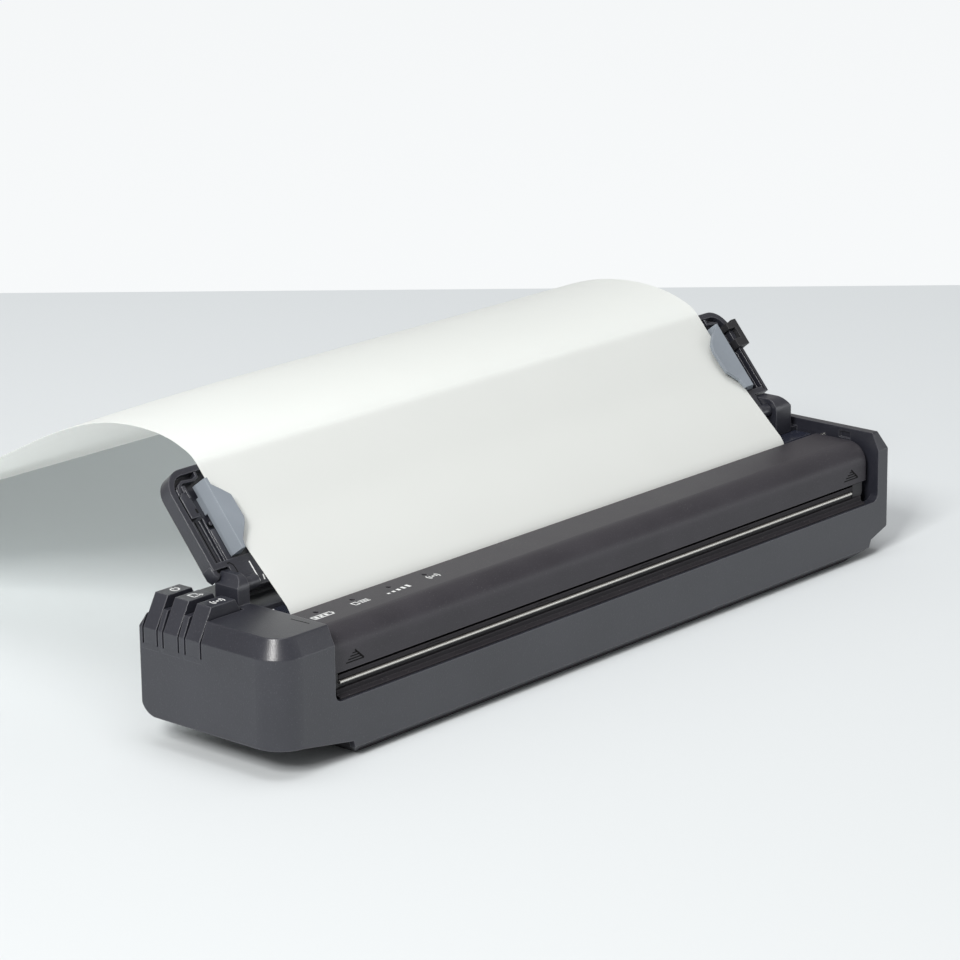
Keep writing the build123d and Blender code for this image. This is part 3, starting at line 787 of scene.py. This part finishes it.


# The charcoal's strong edge lightening is partly a painted highlight on its rounded edges.
CHARCOAL = Moulding(
    "charcoal_plastic", (33, 34, 42), roughness=0.31, specular=0.74, depth=0.0001, fleck=0.25, wear_and_edge_highlight=0.8
)
SLOT_FINISHES: tuple[Finish, ...] = (
    CHARCOAL,
    Moulding(
        "cover_plastic", (47, 45, 50), roughness=0.4, specular=0.32, depth=0.00008, fleck=0.2, wear_and_edge_highlight=0.6
    ),
    Moulding("black_plastic", (30, 30, 33), roughness=0.5, specular=0.45),
    Moulding("grey_plastic", (124, 131, 139), roughness=0.5, fleck=0.05, wear_and_edge_highlight=0.15),
    Moulding("navy_gloss", (30, 33, 46), roughness=0.2, fleck=0.0, depth=0.00001),
    Rubber("rubber", (34, 34, 36)),
    BrushedSteel("steel", (214, 212, 206)),
    BrushedSteel("heat_sink", (170, 172, 176), roughness=0.4),
    Moulding("ceramic_head", (196, 190, 176), roughness=0.3, fleck=0.03, wear_and_edge_highlight=0.05),
    CircuitBoard("circuit_board", (26, 84, 52)),
    Moulding("battery_wrap", (44, 62, 96), roughness=0.35, fleck=0.02),
    Moulding("jack_plastic", (26, 26, 28), roughness=0.4),
    Moulding("light_pipe", (24, 24, 26), roughness=0.15, fleck=0.0, dust=0.05),
    PaperStock("paper", (251, 254, 251)),
)
FINISHES = {finish.name: finish for finish in SLOT_FINISHES}


class Paint(Enum):
    """Finishes that only the dressed model uses."""

    WHITE_INK = Ink("white_ink", (240, 242, 242))
    SKIN = replace(CHARCOAL, name="plain_charcoal", wear_and_edge_highlight=0.0, edge_radius=0.00001)
    # Matt near-black for the slot's lips, and for painted shade on the base's lower chamfer.
    SLOT = Moulding("slot_and_shade_black", (29, 27, 31), roughness=0.6, specular=0.22, wear_and_edge_highlight=0.3)
    # Near-black for gaps, seams and engraved lines, and for painted shade in the lid's track and along its
    # right rim.
    GAP = Moulding("gap_and_shade_black", (12, 12, 13), roughness=0.8, specular=0.2, fleck=0.0, wear_and_edge_highlight=0.0, dust=0.0)


@cache
def material_of(finish: str | Paint) -> bpy.types.Material:
    """The material for a slot of the record or for a paint, made once."""
    return (finish.value if isinstance(finish, Paint) else FINISHES[finish]).build()


# ---------------- sub-assemblies


@dataclass
class SubAssembly:
    """A part of the printer that is dressed together."""

    made: list[bpy.types.Object] = field(default_factory=list)

    def put(
        self, piece: bpy.types.Object, body: str, finish: str | Paint, slot: str | None = None
    ) -> bpy.types.Object:
        """Give a new piece its finish and let it ride on a body.

        Args:
            piece: The finished piece.
            body: The body that carries it.
            finish: A slot name or a Paint.
            slot: A slot of the record for a piece whose finish is a paint; not used.

        Returns:
            The same piece.
        """
        piece.data.materials.clear()
        piece.data.materials.append(material_of(finish))
        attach(piece, body)
        self.made.append(piece)
        return piece

    def report(self) -> None:
        """Log the pieces that this sub-assembly added."""
        for piece in self.made:
            LOG.info("%s: %s, %d faces", type(self).__name__, piece.name, len(piece.data.polygons))


class Frame(SubAssembly):
    """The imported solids, dressed by their slots."""

    def dress(self, frame: dict) -> None:
        """Give every solid the finish of its slot.
        """
        for name, node in frame["nodes"].items():
            for place in node.material_slots:
                slot = place.material.name.split(".")[0]
                place.material = material_of(slot)
            LOG.info("solid %s", name)


@dataclass
class Prints(SubAssembly):
    """Small printed and engraved signs: generic pictograms, and the marks for the slot's ends."""

    cover_front: float = -22.4
    line: float = 0.36
    signs: tuple[tuple[str, str, Triple], ...] = (
        ("key_sign_ring", "power_button", (-120.2, 20.9, 40.5)),
        ("key_sign_page", "feed_button", (-120.2, 13.4, 40.5)),
        ("key_sign_waves", "wireless_button", (-120.2, 5.4, 40.5)),
        ("cover_sign_battery", "cover", (-98.9, -11.0, 34.6)),
        ("cover_sign_lines", "cover", (-84.2, -10.7, 34.6)),
        ("cover_sign_dots", "cover", (-70.4, -10.9, 34.6)),
        ("cover_sign_waves", "cover", (-56.0, -10.4, 34.6)),
    )
    arrows: tuple[float, float] = (-99.1, 114.6)
    arrow_low: float = 25.1
    arrow_high: float = 28.0
    arrow_half: float = 3.3
    arrow_lines: int = 4

    def ring(self) -> list[list[Point2]]:
        """Open ring with a bar at its gap."""
        return [arc_band((0, 0), 1.15, 0.42, 125, 415), stroke((0, 0.25), (0, 1.6), 0.42)]

    def page(self) -> list[list[Point2]]:
        """Sheet with a cut corner, and an arrow that leaves it."""
        edge = [(-1.5, -1.2), (-1.5, 1.3), (0.0, 1.3), (0.7, 0.6), (0.7, -0.2)]
        return [
            path_band(edge, self.line),
            stroke((-1.68, -1.2), (-0.2, -1.2), self.line),
            stroke((0.2, -0.9), (1.5, -0.9), self.line),
            [(1.0, -1.7), (2.0, -0.9), (1.0, -0.1)],
        ]

    def waves(self) -> list[list[Point2]]:
        """Dot between two pairs of arcs."""
        made = [arc_band((0, 0), 0.22, 0.4, 0, 350)]
        for radius in (1.1, 1.95):
            made.append(arc_band((0, 0), radius, self.line, -38, 38))
            made.append(arc_band((0, 0), radius, self.line, 142, 218))
        return made

    def battery(self) -> list[list[Point2]]:
        """Outlined cell with three bars in it."""
        half, tall = 3.4, 0.95
        walls = [(half, -0.3), (half, -tall), (-half, -tall), (-half, tall), (half, tall), (half, 0.3)]
        bars = [stroke((x, -0.55), (x, 0.55), 1.1) for x in (-2.2, -0.4, 1.4)]
        return [path_band(walls, 0.34), stroke((half + 0.3, -0.5), (half + 0.3, 0.5), 0.5)] + bars

    def lines(self) -> list[list[Point2]]:
        """Page with ruled lines beside it."""
        page = [(-2.8, -0.95), (-2.8, 0.95), (-1.2, 0.95), (-1.2, -0.95), (-2.8, -0.95)]
        rows = [stroke((-0.4, v), (2.9, v), 0.34) for v in (-0.75, 0.0, 0.75)]
        return [path_band(page, 0.34)] + rows

    def dots(self) -> list[list[Point2]]:
        """Row of bars that grow."""
        bars = enumerate((-4.0, -2.0, 0.0, 2.0, 4.0))
        return [stroke((x, -0.95), (x, -0.25 + 0.3 * i), 0.95) for i, x in bars]

    def sign(self, name: str, body: str, at: Triple) -> None:
        """Print one sign on a level surface.

        Args:
            name: Name of the piece; its last word is the drawing that it shows.
            body: The body that carries it.
            at: Where its middle is, in millimetres.
        """
        drawings = {
            "ring": self.ring,
            "page": self.page,
            "waves": self.waves,
            "battery": self.battery,
            "lines": self.lines,
            "dots": self.dots,
        }
        x, y, z = at
        strokes = [
            Bench.plate(f"{name}_{i}", [(u + x, v + y) for u, v in shape], z, FILM)
            for i, shape in enumerate(drawings[name.split("_")[-1]]())
        ]
        self.put(Bench.join(name, strokes), body, Paint.WHITE_INK, "light_pipe")

    def arrow(self, name: str, x: float) -> None:
        """Engrave a ruled triangle in the cover's front: four lines and a heavier right side."""
        low, high, half = self.arrow_low, self.arrow_high, self.arrow_half
        strokes = [stroke((x + half, low), (x + 0.05, high), 0.5)]
        for i in range(self.arrow_lines):
            share = i / self.arrow_lines
            z = low + (high - low) * share
            strokes.append(stroke((x - half * (1 - share), z), (x + half * (1 - share), z), 0.34))
        front = on_front(self.cover_front)
        parts = [
            Bench.plate(f"{name}_{i}", shape, 0.0, FILM, place=front) for i, shape in enumerate(strokes)
        ]
        self.put(Bench.join(name, parts), "cover", Paint.GAP, "black_plastic")

    def build(self) -> None:
        """Print every sign."""
        for sign in self.signs:
            self.sign(*sign)
        for side, x in zip(("left", "right"), self.arrows):
            self.arrow(f"slot_arrow_{side}", x)


@dataclass
class LidTrim(SubAssembly):
    """Ribs, marks and painted shade inside the open lid, drawn in the lid's own plane."""

    floor: float = -2.2
    rib_top: float = -0.6
    step_top: float = -1.25
    hook_top: float = -0.2
    face: float = 0.0
    slider_floor: float = -0.4
    cap_height: float = 0.35
    prong_height: float = 0.7
    foot_floor: float = -3.9

    def solid(
        self, name: str, outline: Sequence[Point2], base: float, height: float, bevel: float, body: str
    ) -> None:
        """Raise a plate of the lid's own plastic.

        Args:
            name: Name of the piece.
            outline: Its corners on the lid's plane, in millimetres.
            base: Height of its underside over the plane.
            height: Its thickness.
            bevel: Radius of its edges.
            body: The body that carries it.
        """
        self.put(Bench.plate(name, outline, base, height, bevel, ON_LID), body, "charcoal_plastic")

    def rib(self, name: str, points: Sequence[Point2], width: float, top: float) -> None:
        """Raise a rib of even width from the lid's floor."""
        self.solid(name, path_band(points, width), self.floor, top - self.floor, 0.08, "paper_lid")

    def mark(self, name: str, points: Sequence[Point2], width: float, level: float, paint: Paint) -> None:
        """Lay a thin mark of even width on the lid."""
        piece = Bench.plate(name, path_band(points, width), level, FILM, place=ON_LID)
        self.put(piece, "paper_lid", paint, "black_plastic")

    def left_side(self) -> None:
        """Hooked rib, slider track and stepped floor beside the left rim."""
        hook = [
            (-110.9, -6.4), (-110.3, -4.4), (-108.6, -3.5), (-104.6, -3.8), (-103.1, -3.2), (-102.9, -1.8)
        ]
        self.rib("lid_hook_rib", hook, 0.8, self.hook_top)
        self.rib("lid_track_rib_outer", [(-111.8, -14.6), (-111.8, -27.2)], 0.5, self.rib_top)
        self.rib("lid_track_rib_inner", [(-109.0, -14.6), (-109.0, -27.2)], 0.45, self.step_top)
        self.rib("lid_track_wall", [(-107.5, -14.2), (-107.8, -27.2)], 0.5, self.step_top)
        step = [
            (-107.2, -27.2), (-107.2, -17.8), (-104.6, -17.8), (-104.6, -14.3), (-98.2, -14.3), (-98.2, -27.2)
        ]
        self.solid("lid_floor_step", step, self.floor, self.step_top - self.floor, 0.1, "paper_lid")
        foot = (-105.9, -16.2, self.floor)
        post = Bench.rod("lid_pocket_post", foot, radius=0.6, height=1.0, bevel=0.1, place=ON_LID)
        self.put(post, "paper_lid", "charcoal_plastic")
        self.mark("lid_track_shade", [(-110.4, -14.4), (-110.5, -27.2)], 1.5, self.floor, Paint.GAP)
        self.mark("lid_track_shade_inner", [(-108.3, -14.4), (-108.6, -27.2)], 0.9, self.floor, Paint.GAP)
        arc = [(-109.0, -28.2), (-108.1, -28.2), (-107.3, -29.0), (-107.1, -30.2), (-107.1, -31.4)]
        self.mark("lid_hinge_line", arc, 0.35, self.face, Paint.GAP)
        foot = path_band([(-113.9, -27.6), (-113.8, -29.9), (-113.0, -31.0)], 1.5)
        self.solid("lid_hinge_foot", foot, self.foot_floor, height=3.7, bevel=0.3, body="paper_lid")

    def neck(self) -> None:
        """Two printed marks on the neck, by the edge of the sheet."""
        self.mark("lid_mark_long", [(-101.75, -29.4), (-101.65, -35.4)], 0.4, self.face, Paint.WHITE_INK)
        self.mark("lid_mark_short", [(-99.7, -33.9), (-100.0, -35.4)], 0.4, self.face, Paint.WHITE_INK)

    def right_side(self) -> None:
        """Strip of painted shade along the inner edge of the right rim, and a rib beside it."""
        # Painted shade where the right rim's pocket edge turns down.
        self.mark("lid_rim_shade", [(118.45, -14.4), (118.45, -28.2)], 0.45, self.face, Paint.GAP)
        self.rib("lid_rim_rib", [(116.7, -14.6), (116.7, -27.2)], 0.22, self.rib_top)
        hook = [(111.0, -1.8), (111.1, -3.4), (113.6, -3.6), (115.7, -4.2)]
        self.rib("lid_hook_rib_right", hook, 0.8, self.hook_top)

    def slider(self) -> None:
        """Cap, fork and eye of the slider in the left track."""
        cap = [
            (-111.9, -13.9), (-111.9, -7.4), (-110.9, -6.5), (-109.1, -6.5), (-108.8, -11.2), (-108.8, -13.9)
        ]
        self.solid("slider_cap", cap, self.slider_floor, self.cap_height, 0.1, "left_latch")
        for side, points in (
            ("outer", [(-112.0, -7.2), (-111.9, -5.2)]),
            ("inner", [(-109.9, -6.7), (-109.8, -5.0), (-109.2, -5.0), (-109.1, -8.4)]),
        ):
            prong = path_band(points, 0.6)
            self.solid(f"slider_prong_{side}", prong, self.slider_floor, self.prong_height, 0.1, "left_latch")
        outline = [(-109.5, -12.9), (-108.9, -12.9), (-108.9, -11.6), (-109.5, -11.6)]
        eye = Bench.plate("slider_eye", outline, self.slider_floor + self.cap_height, FILM, place=ON_LID)
        self.put(eye, "left_latch", Paint.GAP, "black_plastic")

    def build(self) -> None:
        """Fit out the lid."""
        self.left_side()
        self.neck()
        self.right_side()
        self.slider()


@dataclass
class EndTrim(SubAssembly):
    """Small details of the key block: the skin under each key, a seam and a printed mark."""

    end: float = -129.5
    skin: float = 0.03
    lap: float = 0.01
    skin_low: float = 26.6
    skin_high: float = 27.9
    keys: tuple[Point2, ...] = ((2.8, 7.9), (10.9, 15.9), (18.6, 23.2))
    slot: float = 0.6
    block_top: float = 37.4
    chute_top: float = 33.8

    def build(self) -> None:
        """Fit the skins, the seam and the mark."""
        for i, (y0, y1) in enumerate(self.keys):
            low = (self.end - self.skin, y0 - self.slot, self.skin_low)
            high = (self.end + self.lap, y1 + self.slot, self.skin_high)
            self.put(Bench.block(f"key_skin_{i}", low, high), "housing", Paint.SKIN, "charcoal_plastic")
        line = path_band([(-112.0, -12.6), (-111.7, -18.8)], 0.3)
        seam = Bench.plate("block_top_seam", line, self.block_top, FILM)
        self.put(seam, "housing", Paint.GAP, "black_plastic")
        line = path_band([(-101.4, 4.3), (-103.3, 0.6)], 0.35)
        mark = Bench.plate("chute_mark", line, self.chute_top, FILM)
        self.put(mark, "housing", Paint.WHITE_INK, "black_plastic")


@dataclass
class SlotTrim(SubAssembly):
    """The lips that frame the tear bar in the mouth of the housing, and a strip of painted shade on the
    base's lower chamfer.
    """

    ramp: Point2 = (-105.2, 115.6)
    sill: Point2 = (-106.6, 119.0)
    # Ends along X of the painted shade strip on the base chamfer.
    base: Point2 = (-99.8, 112.0)
    tabs: tuple[float, ...] = (-72.0, -28.0, 16.0, 60.0)
    face: float = -22.3

    def strip(self, name: str, ends: Point2, outline: Sequence[Point2]) -> None:
        """Run a matt strip along the front from a (y, z) outline."""
        piece = Bench.plate(name, outline, 0.0, ends[1] - ends[0], place=on_right_end(ends[0]))
        self.put(piece, "housing", Paint.SLOT, "black_plastic")

    def build(self) -> None:
        """Fit the lips, the fine lines on them, and the painted shade strip on the base."""
        ramp = [(self.face, 21.4), (-21.9, 21.4), (-21.3, 21.65), (-22.0, 22.6), (self.face, 22.6)]
        self.strip("slot_ramp", self.ramp, ramp)
        sill = [(-24.3, 16.9), (-21.9, 16.9), (-21.9, 19.1), (-22.9, 19.1), (-22.9, 17.8), (-24.3, 17.3)]
        self.strip("slot_sill", self.sill, sill)
        # Dark strip laid on the base's lower chamfer: painted shade where the chamfer faces the floor.
        self.strip("base_shade_strip", self.base, [(-23.95, 1.9), (-22.62, 0.57), (-22.5, 0.7), (-23.8, 2.0)])
        for i, x in enumerate(self.tabs):
            line = path_band([(x, 21.45), (x + 0.7, 22.1), (x + 5.2, 22.1)], 0.18)
            piece = Bench.plate(f"slot_tab_{i}", line, 0.0, FILM, place=on_front(self.face))
            self.put(piece, "housing", Paint.GAP, "black_plastic")


@dataclass
class Sheet(SubAssembly):
    """One A4 sheet, from the exit slot round the roller, up the lid and down to the table."""

    route: tuple[Point2, ...] = (
        (-19.5, 22.0), (-7.6, 22.0), (-1.4, 35.3), (17.67, 53.06), (32.3, 70.0),
        (41.0, 73.9), (69.8, 75.9), (150.0, 36.6), (240.14, 0.07),
    )
    radii: tuple[float, ...] = (13.0, 6.0, 60.0, 10.0, 40.0, 70.0, 150.0)
    bend_steps: int = 40
    left: float = -101.55
    width: float = 210.0
    length: float = 297.0
    thickness: float = 0.12
    split: float = 71.5
    step: float = 1.5
    across: int = 24
    fine: float = 0.1
    ease_reach: int = 240
    ease_spread: float = 80.0
    ease_from: float = 6.0
    ease_over: float = 20.0
    droop: float = 1.5
    droop_from: float = 10.0
    droop_over: float = 40.0
    droop_height: float = 30.0
    droop_width: float = 0.35
    smooth: float = 40.0
    bend_inside: tuple[Point2, Point2] = ((3.0, 38.0), (14.0, 49.0))
    bend_outside: tuple[Point2, Point2] = ((1.0, 0.0), (16.0, 6.0))

    def bend(
        self, before: np.ndarray, corner: np.ndarray, after: np.ndarray, radius: float
    ) -> list[np.ndarray]:
        """Points round one rounded corner of the route.

        Args:
            before: The corner before it.
            corner: The corner that is rounded.
            after: The corner after it.
            radius: Its radius, in millimetres.

        Returns:
            Points in order along the bend.
        """
        into = (corner - before) / np.linalg.norm(corner - before)
        out = (after - corner) / np.linalg.norm(after - corner)
        turn = math.atan2(into[0] * out[1] - into[1] * out[0], float(into @ out))
        back = radius * math.tan(abs(turn) / 2)
        side = np.array((-into[1], into[0])) * math.copysign(1, turn)
        centre = corner - into * back + side * radius
        spoke = -side * radius
        points = []
        for k in range(self.bend_steps + 1):
            angle = turn * k / self.bend_steps
            c, s = math.cos(angle), math.sin(angle)
            points.append(centre + np.array((c * spoke[0] - s * spoke[1], s * spoke[0] + c * spoke[1])))
        return points

    def line(self) -> np.ndarray:
        """Points along the sheet's middle line at even fine steps, as (y, z)."""
        points = [np.array(p) for p in self.route]
        line = [points[0]]
        for corners in zip(points, points[1:], points[2:], self.radii):
            line.extend(self.bend(*corners))
        line.append(points[-1])
        path = np.array(line)
        gone = np.concatenate(([0.0], np.cumsum(np.linalg.norm(np.diff(path, axis=0), axis=1))))
        marks = np.arange(0.0, min(gone[-1], self.length), self.fine)
        return np.column_stack([np.interp(marks, gone, path[:, k]) for k in (0, 1)])

    def eased(self) -> np.ndarray:
        """The middle line with its bends eased where it hangs free."""
        line = self.line()
        steps = np.diff(line, axis=0)
        heading = np.unwrap(np.arctan2(steps[:, 1], steps[:, 0]))
        spread = np.arange(-self.ease_reach, self.ease_reach + 1) / self.ease_spread
        kernel = np.exp(-0.5 * spread**2)
        padded = np.pad(heading, self.ease_reach, mode="edge")
        soft = np.convolve(padded, kernel / kernel.sum(), mode="valid")
        mark = np.arange(len(heading)) * self.fine
        share = np.clip((mark - self.split - self.ease_from) / self.ease_over, 0, 1)
        mixed = heading * (1 - share) + soft * share
        moves = np.column_stack((np.cos(mixed), np.sin(mixed))) * np.linalg.norm(steps, axis=1)[:, None]
        made = np.vstack((line[:1], line[0] + np.cumsum(moves, axis=0)))
        lift = made[-1] - line[-1]
        gain = np.clip((np.arange(len(made)) * self.fine - self.split) / (self.length - self.split), 0, 1)
        return made - np.outer(gain, lift)

    def leaf(self, name: str, start: float, end: float) -> bpy.types.Object:
        """Stretch of the sheet as a thin closed mesh with its own map.

        Args:
            name: Name of the piece.
            start: Where it starts along the sheet, in millimetres.
            end: Where it ends.

        Returns:
            The new piece.
        """
        line = self.eased()
        marks = np.arange(len(line)) * self.fine
        count = max(2, round((end - start) / self.step))
        Bench.clear()
        bpy.ops.mesh.primitive_grid_add(
            x_subdivisions=self.across, y_subdivisions=count, size=1, calc_uvs=True, location=(0, 0, 0)
        )
        piece = Bench.take(name)
        for vertex in piece.data.vertices:
            u, v = vertex.co.x + 0.5, vertex.co.y + 0.5
            mark = start + (end - start) * v
            y, z = (float(np.interp(mark, marks, line[:, k])) for k in (0, 1))
            share = min(max((mark - self.split - self.droop_from) / self.droop_over, 0.0), 1.0)
            share *= min(z / self.droop_height, 1.0)
            sink = self.droop * share * max(1.0 - u / self.droop_width, 0.0) ** 2
            vertex.co = ((self.left + self.width * u) * MM, y * MM, (z - sink) * MM)
        chart = piece.data.uv_layers.active.data
        for loop in piece.data.loops:
            x = piece.data.vertices[loop.vertex_index].co.x
            y = chart[loop.index].uv.y * (end - start)
            chart[loop.index].uv = (x / MM / self.length, y / self.length)
        thicken = piece.modifiers.new("thickness", "SOLIDIFY")
        thicken.thickness = self.thickness * MM
        thicken.offset = 0.0
        Bench.clear()
        piece.select_set(True)
        bpy.context.view_layer.objects.active = piece
        bpy.ops.object.modifier_apply(modifier=thicken.name)
        bpy.ops.object.shade_smooth_by_angle(angle=math.radians(self.smooth))
        Bench.clear()
        return piece

    def lay(self, piece: bpy.types.Object, bodies: Sequence[str], ends: Sequence[Point2]) -> None:
        """Dress a stretch, settle its place in its mesh and hide the imported sheet.

        Args:
            piece: The stretch.
            bodies: The body at its start and the body at its end; not used.
            ends: Where the bending starts and ends, as (y, z) in millimetres; not used.
        """
        piece.data.materials.clear()
        piece.data.materials.append(material_of("paper"))
        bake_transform(piece)
        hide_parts("paper_sheet")
        self.made.append(piece)

    def build(self) -> None:
        """Make the stretch inside the printer and the stretch over the lid."""
        meet = self.eased()[round(self.split / self.fine)]
        self.lay(
            self.leaf("sheet_inside", 0.0, self.split), ("housing", "paper_lid"), self.bend_inside
        )
        self.lay(
            self.leaf("sheet_outside", self.split, self.length),
            ("paper_lid", "sheet"),
            [(meet[0] + y, meet[1] + z) for y, z in self.bend_outside],
        )


# ---------------- studio


@dataclass(frozen=True)
class Ground:
    """One level board of the set, between two distances from the table's back edge, in metres."""

    name: str
    low: float
    high: float
    height: float
    board: Board


@dataclass(frozen=True)
class Lamp:
    """One soft flat lamp: its place and size in metres, its power in watts and its colour."""

    name: str
    at: Triple
    size: Point2
    watts: float
    tint: Triple


@dataclass
class Studio:
    """Table, backdrop, lamps and camera."""

    eye: Triple = (-756.7, -651.2, 335.7)
    aim: Triple = (109.6, 120.0, 0.0)
    roll: float = -0.68
    lens: float = 141.2
    sensor: float = 36.0
    back_line: tuple[Point2, Point2] = ((187.5, 438.3), (431.3, 155.8))
    half_width: float = 5.0
    clip: Point2 = (0.01, 50.0)
    grounds: tuple[Ground, ...] = (
        Ground("table", -4.0, 0.0, 0.0, Board("table_board", (213, 217, 219), far=(222, 227, 230))),
        Ground("sweep", -0.002, 6.0, -0.0004, Board("sweep_board", (248, 250, 251), shown=0.92)),
    )
    room: Triple = (1.0, 0.985, 0.975)
    room_strength: float = 0.36
    lamps: tuple[Lamp, ...] = (
        Lamp("key_lamp", (-1.4, -0.45, 1.14), (0.5, 0.6), 26.0, (1.0, 0.99, 0.97)),
        Lamp("top_lamp", (-0.1, -0.15, 1.8), (1.2, 1.2), 12.0, (1.0, 1.0, 1.0)),
        Lamp("glint_lamp", (-1.5, -0.75, 1.02), (0.16, 0.16), 4.0, (1.0, 0.99, 0.97)),
        Lamp("right_lamp", (1.0, -1.3, 0.20), (1.3, 0.36), 3.0, (0.94, 0.97, 1.0)),
    )
    lamps_aim: Triple = (0.0, 0.03, 0.02)

    def camera(self) -> None:
        """Place the camera."""
        data = bpy.data.cameras.new("camera")
        data.lens = self.lens
        data.sensor_width = self.sensor
        data.clip_start, data.clip_end = self.clip
        camera = bpy.data.objects.new("camera", data)
        bpy.context.scene.collection.objects.link(camera)
        eye, aim = Vector(self.eye) * MM, Vector(self.aim) * MM
        roll = Matrix.Rotation(math.radians(self.roll), 3, "Z")
        turn = (aim - eye).to_track_quat("-Z", "Y").to_matrix() @ roll
        camera.matrix_world = Matrix.Translation(eye) @ turn.to_4x4()
        bpy.context.scene.camera = camera

    def ground(self) -> None:
        """Lay the table up to its back edge and the pale sweep beyond it."""
        a, b = (Vector((*p, 0)) * MM for p in self.back_line)
        along = (b - a).normalized()
        away = Vector((-along.y, along.x, 0))
        if away.y < 0:
            away = -away
        middle = (a + b) / 2
        for ground in self.grounds:
            Bench.clear()
            bpy.ops.mesh.primitive_plane_add(size=1)
            piece = Bench.take(ground.name)
            corners = [(u, v) for v in (ground.low, ground.high) for u in (-self.half_width, self.half_width)]
            for vertex, (u, v) in zip(piece.data.vertices, corners):
                vertex.co = middle + along * u + away * v + Vector((0, 0, ground.height))
            Bench.done(piece)
            piece.data.materials.append(ground.board.build())

    def hang(self, lamp: Lamp) -> None:
        """Hang one soft lamp that looks at the printer."""
        data = bpy.data.lights.new(lamp.name, "AREA")
        data.shape = "RECTANGLE"
        data.size, data.size_y = lamp.size
        data.energy = lamp.watts
        data.color = lamp.tint
        hung = bpy.data.objects.new(lamp.name, data)
        sight = Vector(self.lamps_aim) - Vector(lamp.at)
        turn = sight.to_track_quat("-Z", "Y").to_matrix()
        hung.matrix_world = Matrix.Translation(lamp.at) @ turn.to_4x4()
        bpy.context.scene.collection.objects.link(hung)

    def light(self) -> None:
        """Light the set softly, and give the world its plain colour."""
        world = bpy.data.worlds.new("room")
        world.use_nodes = True
        back = world.node_tree.nodes["Background"]
        back.inputs["Color"].default_value = (*self.room, 1.0)
        back.inputs["Strength"].default_value = self.room_strength
        bpy.context.scene.world = world
        for lamp in self.lamps:
            self.hang(lamp)
        bpy.context.scene.view_settings.view_transform = "Standard"

    def build(self) -> None:
        """Set up the whole studio."""
        self.camera()
        self.ground()
        self.light()


def main() -> None:
    """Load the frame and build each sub-assembly."""
    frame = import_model()
    Studio().build()
    Frame().dress(frame)
    for part in (Prints(), LidTrim(), EndTrim(), SlotTrim(), Sheet()):
        part.build()
        part.report()


if __name__ == "__main__":
    logging.basicConfig(level=logging.INFO, format="%(message)s")
    main()
